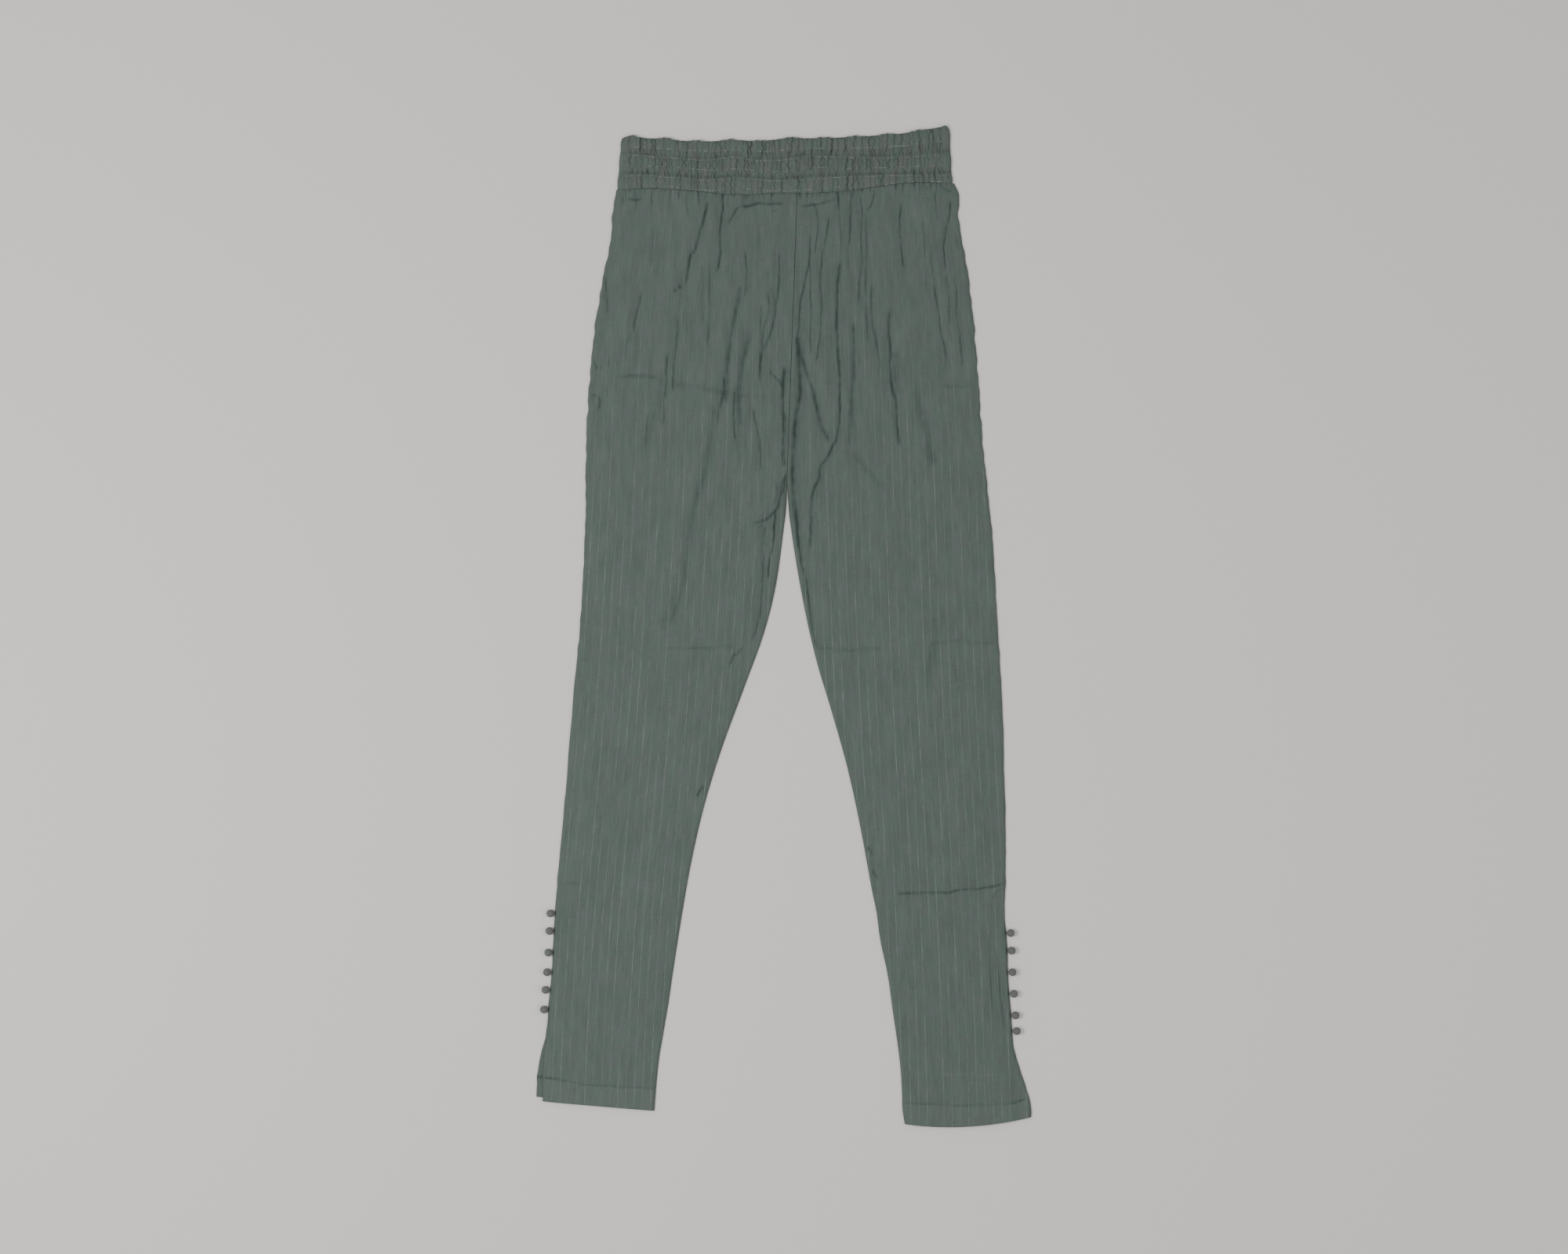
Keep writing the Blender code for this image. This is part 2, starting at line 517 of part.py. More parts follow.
def make_band_front():
    """The waistband's front run: three channels crossed by uneven gathers."""
    turns = len(TURN_ANGLES) - 1
    crease_top = np.array([gather.top_x for gather in GATHERS])
    crease_low = np.array([gather.low_x for gather in GATHERS])
    depths = np.array([gather.depth for gather in GATHERS])

    def column_line(creases, sides):
        """x of each column: the turned side, then each crease and the crest beside it."""
        edge = BAND_TURN * (1 - np.cos(np.array(TURN_ANGLES)))
        crests = (creases[1:] + creases[:-1]) / 2
        middle = np.sort(np.concatenate([creases, crests]))
        return np.concatenate([sides[0] + edge, middle, (sides[1] - edge)[::-1]])

    top_line = column_line(crease_top, BAND_SIDES_TOP)
    low_line = column_line(crease_low, BAND_SIDES_LOW)
    dip = np.zeros(len(top_line))
    dip[turns + 1:len(dip) - turns - 1:2] = depths
    right_angle = np.full(len(top_line) - turns, math.pi / 2)
    right_turn = np.concatenate([TURN_ANGLES[:-1], right_angle])
    left_turn = right_turn[::-1]
    down_rows = np.array([band_row.down for band_row in BAND_ROWS])
    rises = np.array([band_row.rise for band_row in BAND_ROWS])
    full_rise = rises.max()

    def place(column, row, is_upper):
        down = down_rows[row]
        side_x = blend(BAND_SIDES_TOP[0], BAND_SIDES_LOW[0], down)
        far_x = blend(BAND_SIDES_TOP[1], BAND_SIDES_LOW[1], down)
        width = far_x - side_x
        from_side = blend(top_line[column], low_line[column], down) - side_x
        rise = rises[row] - dip[column] * blend(GATHER_IN_GROOVE, 1.0, rises[row] / full_rise)
        height = BAND_REST + np.where(is_upper, BAND_CLOTH + rise, 0.0)
        distance, height = turned_edge(from_side, height, right_turn[column], 1.0,
                                       BAND_TURN, BAND_CLOTH, is_upper)
        from_far, height = turned_edge(width - distance, height, left_turn[column], 1.0,
                                       BAND_TURN, BAND_CLOTH, is_upper)
        x = far_x - from_far
        return np.stack([x, band_place(x, down), height], axis=1)

    make_slab("waistband_front", len(top_line) - 1, len(down_rows) - 1, place, COTTON)


def make_band_back():
    """The waistband's back run, flat on the floor under the front run."""
    points = len(BAND_TOP) * 2

    def place(column, row, is_upper):
        down = row / BAND_BACK_ROWS
        side_x = blend(BAND_SIDES_TOP[0], BAND_SIDES_LOW[0], down) + BAND_TUCK
        far_x = blend(BAND_SIDES_TOP[1], BAND_SIDES_LOW[1], down) - BAND_TUCK
        x = blend(side_x, far_x, column / points)
        return np.stack([x, band_place(x, down), np.where(is_upper, BAND_CLOTH, 0.0)], axis=1)

    make_slab("waistband_back", points, BAND_BACK_ROWS, place, COTTON)


def ball_mesh():
    """A ball on a short shank, turned about Z, with the shank pointing down."""
    neck_angle = math.asin(SHANK_RADIUS / BALL_RADIUS)
    bm = bmesh.new()
    profile = []
    for k in range(BALL_ARCS + 1):
        angle = k / BALL_ARCS * (math.pi - neck_angle)
        profile.append((BALL_RADIUS * math.sin(angle), BALL_RADIUS * math.cos(angle)))
    shank_end = -BALL_RADIUS - SHANK_LENGTH
    profile += [(SHANK_RADIUS, shank_end), (0.0, shank_end)]
    vertices = [bm.verts.new((x, 0.0, z)) for x, z in profile]
    edges = [bm.edges.new(pair) for pair in zip(vertices, vertices[1:])]
    bmesh.ops.spin(bm, geom=vertices + edges, axis=(0, 0, 1), cent=(0, 0, 0),
                   angle=math.tau, steps=BALL_SEGMENTS, use_merge=True)
    bmesh.ops.remove_doubles(bm, verts=list(bm.verts), dist=MERGE_DISTANCE)
    bmesh.ops.recalc_face_normals(bm, faces=list(bm.faces))
    mesh = bpy.data.meshes.new("ball_button")
    bm.to_mesh(mesh)
    bm.free()
    return mesh


def make_buttons(leg):
    """The ball buttons down the outer ankle, each on its shank against the seam edge."""
    order = np.argsort([section.outer_y for section in leg.sections])
    heights = [leg.sections[k].outer_y for k in order]
    edges = [leg.sections[k].outer_x for k in order]
    reach = BALL_STAND_OFF - SEAM_GAP
    drop = BALL_RADIUS - CLOTH
    towards_seam = Vector((-leg.side * reach, 0.0, -drop)).normalized()
    turn = Vector((0, 0, -1)).rotation_difference(towards_seam).to_matrix().to_4x4()
    for number, y in enumerate(leg.button_y, start=1):
        x = np.interp(y, heights, edges) + leg.side * BALL_STAND_OFF
        button = add_piece(f"{leg.name}_button_{number}", ball_mesh(), BUTTON_CLOTH)
        button.matrix_world = Matrix.Translation((x, y, BALL_RADIUS)) @ turn


def main():
    clear_objects()
    for leg in LEGS:
        make_front(leg)
        make_back(leg)
        make_buttons(leg)
    make_band_front()
    make_band_back()


main()
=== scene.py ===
"""Slim pull-on pants in pinstriped cotton, laid flat: their cloth, their stitches and their ball buttons.

Metres, +Z up. The waistband is towards +Y, and the wearer's right leg is at -X. The tables are in
millimetres in the same frame, where their comments don't say metres.
"""
import math
from collections import namedtuple
from functools import partial

import bmesh
import bpy
import numpy as np
from bpy.props import FloatProperty, FloatVectorProperty, IntProperty, PointerProperty
from mathutils import Matrix, Vector


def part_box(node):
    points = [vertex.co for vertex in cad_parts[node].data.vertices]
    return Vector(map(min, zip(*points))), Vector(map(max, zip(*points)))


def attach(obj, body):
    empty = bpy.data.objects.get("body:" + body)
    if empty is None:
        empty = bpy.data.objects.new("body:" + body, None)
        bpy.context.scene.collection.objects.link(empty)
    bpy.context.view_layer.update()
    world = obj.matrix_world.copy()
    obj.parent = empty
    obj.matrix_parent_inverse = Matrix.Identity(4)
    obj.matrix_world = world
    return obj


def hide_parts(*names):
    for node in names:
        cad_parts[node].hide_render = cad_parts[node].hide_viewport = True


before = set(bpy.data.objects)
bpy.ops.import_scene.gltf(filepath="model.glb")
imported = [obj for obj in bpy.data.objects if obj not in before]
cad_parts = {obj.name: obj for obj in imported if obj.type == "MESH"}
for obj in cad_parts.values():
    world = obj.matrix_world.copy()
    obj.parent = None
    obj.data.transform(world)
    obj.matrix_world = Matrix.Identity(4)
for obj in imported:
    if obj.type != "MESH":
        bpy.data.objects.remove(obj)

bl_info = {
    "name": "Pinstriped Pull-on Pants",
    "version": (1, 0, 0),
    "blender": (4, 5, 0),
    "location": "3D View > Sidebar > Pants",
    "description": "Cotton panels, gathered waistband, stitches and covered buttons of a pair of pants",
    "category": "Object",
}

MM = 0.001

# Walls and gaps of the solids that the cloth lies on
CLOTH = 0.0012
BAND_CLOTH = 0.0020
SEAM_GAP = 0.0003
FOOT = 0.0003               # height of a turned edge's outermost line
BACK_TUCK = 0.0022          # how far inside a front's turned edge its back stops
BAND_TUCK = 0.0046          # the same for the waistband's back run
FRONT_REST = CLOTH + SEAM_GAP
BAND_REST = BAND_CLOTH + SEAM_GAP

# The fronts' slack and their turned edges
EDGE_TURN = 0.0035          # width of a front's turned edge
BAND_TURN = 0.0050          # the same on the waistband
EDGE_EASE = 0.0003          # slack of the cloth at an edge
FULLNESS = 0.0014           # how much more it has in the middle
FULLNESS_REACH = 0.030      # how far in from an edge it has that
FOLD_REACH = 0.008          # how far in from an edge the folds have their full rise
CROTCH_Y = 0.156            # below this y a panel's inner edge turns down, over this length
CROTCH_TURN = 0.018
SLIT_TOP_Y = -0.400         # below this y the open slit's edge stays flat, over this length
SLIT_TURN = 0.015
HEM_STEP = 0.0005           # rise of the hem's extra layer
END_BEND = 0.050            # how far from the waist and the hem the rows bow to them
BOW_STEPS = 10              # straight runs in a large fold's bow

# Ball buttons
BALL_RADIUS = 0.0041
SHANK_RADIUS = 0.0010
SHANK_LENGTH = 0.0006
BALL_STAND_OFF = 0.0043     # from the seam's edge to a ball's middle
BALL_ARCS = 14              # straight runs in its profile
SHANK_TURNS = 3             # turns of thread round the shank

# Walls and edges of the cloth that shows
SHELL = 0.0004
BACK_SHELL, BACK_RIM = 0.00105, 0.0003
BAND_SHELL = 0.0005
BAND_BACK_SHELL, BAND_RIM = BAND_CLOTH - 0.0001, 0.0005
LOWEST_FRONT = 0.00170      # a crease stops here, just over the back
SEAM_ROLL = 0.0004          # how tightly an edge rolls into a flat seam
END_ROLL = 0.00015          # the same at the waist seam and at the hem
TOP_ROLL = 0.0010           # the same at the waistband's top edge
SHOWN_GAP = 0.00004         # what the waist seam's gap looks like
LAST_STITCH_CLEAR = 0.0012  # the least way from the last row of stitches to the waist seam
TOP_PRESS = 0.0050          # the depth of cloth that the top edge's roll draws together
TOP_RUFFLE = 0.0014         # how far the top edge wavers
SIDE_BULGE = 0.7            # how far a channel swells sideways, as a share of its rise
BULGE_START = 0.0004        # the rise from which it swells
TUCK_UNDER = 0.55           # share of a turned edge's width that tucks in under it
UNDER_Z = 0.00008           # a turned edge ends this far above the floor
STEP_BLEND = 0.0016         # length over which the hem's extra layer steps up
HEM_WALL = 0.0004           # the wall that the stripes run round at a panel's ends
HEM_CLEAR = 0.005           # from a hem's end to its nearest stitch
BAND_CLEAR = 0.007          # the same on the waistband
BACK_EASE = 0.00012         # how deep a back's waves are before they lift it off the surface
BACK_LIFT = 0.0005          # the most that they lift it
BACK_FADE = 0.012           # how far in from its edges they start
STITCH_GROOVE = 0.00025     # how deep a row of stitches draws the waistband in
HEM_GROOVE = 0.00030        # the same at a hem, on its underside
SEAM_DROP = 0.0008          # how far the waistband sinks at the waist seam
SLIT_DROP = 0.0010          # how far the open slit's edge sinks towards the flap under it
SLIT_DROP_WIDTH = 0.008     # how far in from the edge, and below the slit's top, it sinks
SLIT_DROP_LENGTH = 0.02
PUCKER = 0.00020            # height, length and reach of the waves along a sewn edge
PUCKER_LENGTH = 0.0115
PUCKER_REACH = 0.0060

# Creases
FOLD_SHARE = 0.60           # the part of a large fold's rise that its sharp crease doesn't hold
LINE_PITCH = 0.0030         # a crease's smooth line is divided this finely
CREASE_TAPER = 0.0070       # length over which a crease ends
CREASE_WANDER = 0.00022     # how far its line strays to each side
WANDER_LENGTHS = (0.0024, 0.0061)
CREASE_BEAT = 0.0070        # the lengths over which its depth wavers, broadly and finely
FINE_BEAT = 0.0019
LIP_PLACE, LIP_WIDTH = 2.4, 1.7     # where a lapped crease stands up, in widths of the crease
LINE_WIDTH = 1.15                   # the width of its line of painted shade
SOFT_PLACE, SOFT_WIDTH = 1.6, 2.2   # where painted shade lies beside it
FULL_SHADE_DEPTH = 0.0010   # a crease this deep gets the most painted shade
FULL_DIP_SHADE = 0.0007     # the same for a gather's crease
SOFT_SHADE = 0.10           # painted shade beside a lapped crease, as a share of that on its line
TROUGH_SHADE = 0.05         # painted shade in a large fold's trough, and painted light on its ridge
TROUGH_DEPTH = 0.0014       # the depth from which it is
HEM_LINE_SHADE = 0.35       # painted shade along the line of a hem's stitches
HEM_LINE_WIDTH = 0.0009
HEM_SHADE = 0.10            # how much lighter the hem is, over its extra layer

# The dips that gathers press into a front below the waist seam: their depth as a share of the
# gather's, the fine ones between them, and how each one strays, spreads, reaches and slants
DIP_SHARE = 0.8
FINE_DIP = 0.0003
FINE_DIP_PITCH = 0.0053
DIP_STRAY = 0.0018
DIP_WIDTHS = (0.0007, 0.0012)
DIP_LEAST_REACH, DIP_MORE_REACH = 0.005, 0.024
DIP_SLANT = 0.12
DIP_SPREAD = 0.010

# How finely the cloth is divided
FINE_STEPS = 3000
MIDDLE_CROWDING = 0.15      # how much closer the columns lie near the centre seam

# Fine lines of a second shade between the stripes, and the bump of the weave
SECOND_SHADE_PITCH = 0.0021
WEAVE_PITCH = 0.0018
BUTTON_WEAVE_PITCH = 0.0010

DIP_SEED, PLEAT_SEED, STITCH_SEED = 41, 17, 29

# The floor's reach to each side and its gap under the cloth, and the lamps, all aimed at the
# middle: their places, their shares of the light and their sizes
FLOOR_REACH, FLOOR_GAP = 6.0, 0.0001
LAMPS = (("key", (-1.5, -0.2, 2.1), 1.0, 1.2), ("fill", (1.8, -0.4, 2.3), 0.45, 2.0))

# Angles of the points round a rolled edge, from under it to on top of it
ROLL_ANGLES = tuple(math.radians(angle) for angle in (-90, -55, -20, 10, 38, 64, 90))


def linear(code):
    """A hex colour, such as "#5e6863", as linear red, green and blue."""
    shares = (int(code[k:k + 2], 16) / 255 for k in (1, 3, 5))
    return tuple(s / 12.92 if s <= 0.04045 else ((s + 0.055) / 1.055) ** 2.4 for s in shares)


# A row across a leg panel, from its outer edge to its inner edge
Section = namedtuple("Section", "outer_x outer_y inner_x inner_y")

# A soft ridge or, where its rise is negative, a trough, bowed through three points
Fold = namedtuple("Fold", "x0 y0 x1 y1 x2 y2 rise width")

# A sharp crease along a smooth line. lap is how far the cloth stands up over it, as a share of its
# depth: above zero on the left of the line's direction, which is +X where the line runs down the
# leg, and below zero on the right.
# A crease's depth also sets its painted shade; a negative depth raises a ridge that gets painted light
# instead.
Crease = namedtuple("Crease", "depth width lap points")

# A crease across the waistband: where it leaves the top edge and the seam, and its depth
Gather = namedtuple("Gather", "top_x low_x depth")

# A strip of the waistband between two fractions of the way down, and its fine creases. lean is how
# far a crease slants, from its top to its foot.
Channel = namedtuple("Channel", "first last pitch depth lean")

# A fine crease across the waistband, between two fractions of the way down it
Pleat = namedtuple("Pleat", "top_x low_x depth width first last")

# A soft wave across the stripes: its length, its rise, its slant and where it starts
Ripple = namedtuple("Ripple", "length rise slant start")

# One leg: its side of the body, its outline, its creases, its front's rows and how its stripes run.
# stripe_fan is how far the outer stripes have spread at y from the waist, stripe_drift how far
# outward all the stripes have run there, and stripe_start the x of a stripe before either.
Leg = namedtuple("Leg", "name side sections folds creases pitch hem_sag slit_open stripe_fan "
                        "stripe_drift stripe_start stripe_pitch hem_stitches")

# A panel's rows: arrays of their ends, and how far each end turns down, from 0 to 1
PanelRows = namedtuple("PanelRows", "outer_x outer_y inner_x inner_y outer_turn inner_turn")


def table(kind, unit, *rows):
    """A table's rows with named columns, their numbers given in a unit."""
    return tuple(kind(*(None if value is None else value * unit for value in row)) for row in rows)


# The waist seam's y in metres, at even steps from the right side to the left
WAIST_HALF = 0.172
WAIST_SEAM = (0.4460, 0.4472, 0.4440, 0.4407, 0.4428, 0.4429, 0.4476, 0.4530, 0.4525)

BAND_TOP = (
    (-166, 498.5), (-158, 501), (-145, 498.5), (-120, 498), (-106, 496), (-80, 495), (-50, 496.8),
    (-22, 495.2), (0, 498.5), (40, 498.5), (80, 500.3), (120, 503.3), (140, 506.5), (160, 510),
    (165.5, 510.4), (169, 507.5),
)
BAND_SIDES_TOP = (-0.1660, 0.1690)
BAND_SIDES_LOW = (-0.1704, 0.1722)
# How far down a row along the waistband lies, as a share, and its rise
BAND_ROWS = (
    (0, 0.1), (0.05, 0.6), (0.13, 0.8), (0.2, 0.3), (0.27, 0), (0.34, 0.4), (0.44, 0.9),
    (0.54, 0.4), (0.63, 0), (0.73, 0.4), (0.83, 0.9), (0.93, 0.3), (1, 0),
)
GATHERS = table(
    Gather, MM,
    (-157, -158, 0.5), (-146, -144, 0.4), (-132, -131, 0.7), (-121, -121, 0.6), (-108, -105, 0.9),
    (-99, -97, 0.4), (-89, -87, 0.9), (-80, -78, 0.4), (-69, -70, 0.8), (-60, -62, 0.6),
    (-47, -50, 0.7), (-35, -40, 0.7), (-25, -26, 0.5), (-11, -13, 0.9), (-4, -1, 0.7),
    (12, 17, 0.9), (20, 24, 0.6), (28, 31, 0.5), (39, 38, 0.6), (47, 46, 0.5), (55, 54, 0.6),
    (64, 64, 0.7), (72, 71, 0.9), (80, 78, 0.6), (90, 88, 0.6), (101, 102, 0.6), (112, 115, 0.7),
    (121, 123, 0.6), (128, 133, 0.9), (137, 143, 0.9), (146, 149, 0.5), (152, 155, 0.8),
    (159, 161, 0.6),
)

# Painted shade in the valleys between the waistband's channels: how far down each lies, and its width
VALLEYS = ((0.305, 0.022), (0.670, 0.026))

# The waistband's rows of stitches, by how far down it they lie
STITCH_ROWS = {
    0.20: ((-166, 489.5), (-150, 489), (-120, 487.5), (-100, 486), (-80, 485), (-50, 486.5),
           (-22, 484.5), (0, 486.5), (20, 488), (60, 488), (90, 488.5), (125, 491), (150, 494.5),
           (168, 496)),
    0.34: ((-168, 481.5), (-150, 481), (-135, 479.5), (-100, 477), (-82, 475.5), (-60, 478),
           (-50, 479.5), (-30, 475), (0, 476), (20, 479.5), (38, 479.5), (90, 478), (105, 478),
           (125, 479), (150, 480.5), (170, 482)),
    0.54: ((-168, 470), (-155, 470), (-130, 469.5), (-100, 468), (-80, 465.5), (-45, 467),
           (-20, 464), (0, 464.5), (30, 469), (50, 468), (60, 467), (90, 468), (140, 470),
           (171, 471)),
    0.73: ((-170, 460), (-140, 460), (-115, 458), (-85, 455), (-65, 456), (-50, 457.5),
           (-20, 455), (0, 454.5), (60, 458.5), (110, 460), (145, 460), (171, 460.5)),
    0.93: ((-170, 450), (-130, 450), (-115, 449), (-105, 447), (-75, 445), (-55, 447),
           (-40, 447), (-25, 445), (5, 444.5), (60, 449), (80, 449), (100, 451), (115, 451),
           (130, 454.5), (172, 454)),
}

# The fine creases of each strip of the waistband, the valleys' own short ones among them
CHANNELS = table(
    Channel, 1,
    (-0.20, 0.30, 0.0052, 0.0010, 0.0011), (0.19, 0.35, 0.0026, 0.0006, 0.0004),
    (0.30, 0.60, 0.0030, 0.0008, 0.0004), (0.55, 0.73, 0.0024, 0.0007, 0.0005),
    (0.66, 1.20, 0.0046, 0.0008, 0.0014),
)
GATHER_SHARE = 0.45         # how much of a deep gather runs through all the channels
PLEAT_TAPER = 0.06          # share of the way down the waistband over which a crease ends
PLEAT_WOBBLE = 0.0005       # how far its line strays to each side
PLEAT_LIP = 0.25            # how far the cloth stands up beside it, as a share of its depth
PLEAT_SHADE = 0.8           # how much painted shade its trough gets
GROOVE_WIDTH = 0.016        # share of the way down that a row of stitches draws in

# The straight centre seam in metres, front and back alike
CENTRE_WAIST = (0.0136, 0.4430)
CENTRE_CROTCH = (0.0032, CROTCH_Y)
CENTRE = None               # in a section's inner_x: the row ends at the centre seam

RIGHT_SECTIONS = table(
    Section, MM,
    (-171.2, 446, CENTRE, 442.5), (-174.6, 424, CENTRE, 421), (-177.7, 392, CENTRE, 389),
    (-186.4, 347, CENTRE, 345), (-193.6, 302, CENTRE, 301), (-198.8, 248, CENTRE, 248),
    (-201.6, 200, CENTRE, 200), (-202.4, 156, CENTRE, 156), (-202.4, 138, 3.1, 138),
    (-202.6, 119, 2.2, 119), (-203, 101, 0, 101), (-205.6, 43, -8, 43), (-209, -8, -20.8, -8),
    (-214.6, -65, -41.6, -65), (-219.6, -126, -64, -126), (-224.3, -184, -81.6, -184),
    (-229.7, -240, -94.4, -240), (-234, -294, -104, -294), (-236.7, -345, -112, -345),
    (-240.2, -385, -118.1, -387), (-240.8, -400, -120.8, -402), (-242.6, -419, -124, -421),
    (-244.3, -435, -126.8, -437), (-245.7, -460, -129.8, -465), (-246.2, -484, -132, -493.6),
)
LEFT_SECTIONS = table(
    Section, MM,
    (174.5, 452.5, CENTRE, 442.5), (178.8, 440, CENTRE, 432), (177.6, 420, CENTRE, 416),
    (181, 400, CENTRE, 396), (184.8, 378, CENTRE, 374), (190, 343, CENTRE, 341),
    (194.2, 305, CENTRE, 304), (196.6, 274, CENTRE, 274), (199.3, 240, CENTRE, 240),
    (201.8, 200, CENTRE, 200), (206, 156, CENTRE, 156), (208, 138, 3.4, 138), (210, 119, 4.6, 119),
    (211.7, 104, 6.4, 104), (214.7, 62, 12.8, 62), (217.6, 10, 22.5, 10), (220.4, -37, 33.6, -37),
    (223.1, -85, 48, -85), (224.6, -142, 64, -142), (226.1, -200, 76.8, -200),
    (226.1, -264, 88.6, -264), (225, -290, 94.3, -292), (227.4, -320, 98, -320),
    (228.8, -355, 105.6, -355), (231.2, -390, 110.4, -390), (234, -425, 115.2, -422),
    (238.8, -445, 118.4, -448), (247.2, -470, 120, -474), (251.5, -486, 120.6, -492),
    (252.4, -500, 123, -507.2),
)

# How far the right leg's back flap shows past the front's slit edge at y
BACK_FLAP = (
    (-484, 6.4), (-461, 6.4), (-451, 5.5), (-435, 3.7), (-419, 1), (-400, 0),
)
FLAP_HEM_LIFT = 0.0040
FLAP_CORNER_Y = -0.460
FLAP_CORNER_BEND = 0.020

# The large soft folds, as the solids have them
RIGHT_FOLDS = table(
    Fold, MM,
    (-78, 438, -88, 392, -100, 350, -1.4, 6), (-90, 432, -101, 385, -114, 348, 1.6, 8),
    (-62, 442, -65, 400, -70, 362, -1.4, 6), (-70, 430, -76, 395, -85, 360, 1.4, 7),
    (-45, 430, -52, 420, -58, 408, -1, 6), (-39, 350, -55, 285, -60, 236, -1.4, 7),
    (-60, 236, -78, 165, -97, 85, -1.4, 7), (-50, 345, -67, 275, -76, 215, 1.7, 9),
    (-76, 215, -94, 150, -114, 60, 1.5, 11), (-36, 300, -45, 250, -44, 198, -1.3, 6),
    (-46, 300, -52, 255, -54, 205, 1.2, 6), (-4, 380, -8, 325, -24, 262, -1.1, 6),
    (-15, 372, -20, 322, -33, 270, 1.3, 8), (-145, 342, -151, 315, -154, 296, -1.1, 6),
    (-155, 342, -160, 315, -165, 285, 1, 7), (-109, 315, -111, 280, -120, 240, -1, 6),
    (-122, 310, -127, 262, -133, 215, 1.1, 8), (-32, 222, -28, 200, -23, 162, -0.9, 6),
    (3, 152, -6, 128, -24, 104, -1.3, 6), (-8, 160, -22, 134, -40, 112, 1.4, 9),
    (-21, 100, -22, 50, -28, -5, -1, 6),
)
LEFT_FOLDS = table(
    Fold, MM,
    (27, 400, 17, 335, 15, 285, -1.3, 6), (15, 285, 17, 235, 11, 165, -1.4, 6),
    (33, 395, 31, 340, 29, 290, 1.3, 6), (16, 285, 25, 248, 44, 195, -1.4, 7),
    (30, 285, 40, 245, 50, 212, 1.4, 8), (46, 410, 38, 365, 37, 295, -1.2, 6),
    (56, 368, 54, 290, 57, 208, -1.4, 6), (57, 208, 48, 180, 28, 122, -1.4, 6),
    (64, 365, 62, 290, 64, 210, 1.4, 7), (68, 446, 68, 415, 65, 386, -1.2, 6),
    (71, 310, 71, 250, 67, 180, -1.1, 7), (80, 432, 82, 380, 80, 330, -1.3, 6),
    (89, 350, 91, 305, 100, 262, -1.1, 6), (94, 425, 98, 370, 100, 315, 1.1, 9),
    (120, 436, 117, 402, 123, 362, -1.1, 6), (108, 322, 109, 270, 118, 186, -1.4, 8),
    (120, 300, 123, 260, 129, 212, 1.2, 9), (134, 242, 146, 200, 154, 158, -1.2, 10),
    (153, 352, 159, 305, 168, 266, -1.1, 6), (163, 350, 168, 305, 175, 268, 1.1, 7),
    (170, 432, 164, 395, 168, 345, -1.2, 6), (154, 446, 156, 420, 152, 398, -0.9, 6),
    (13, 118, 20, 58, 33, -20, -1.1, 6),
)
SEAM_PINCH = Fold(0.006, 0.246, 0.0045, 0.200, 0.004, 0.158, 0.0012, 0.005)

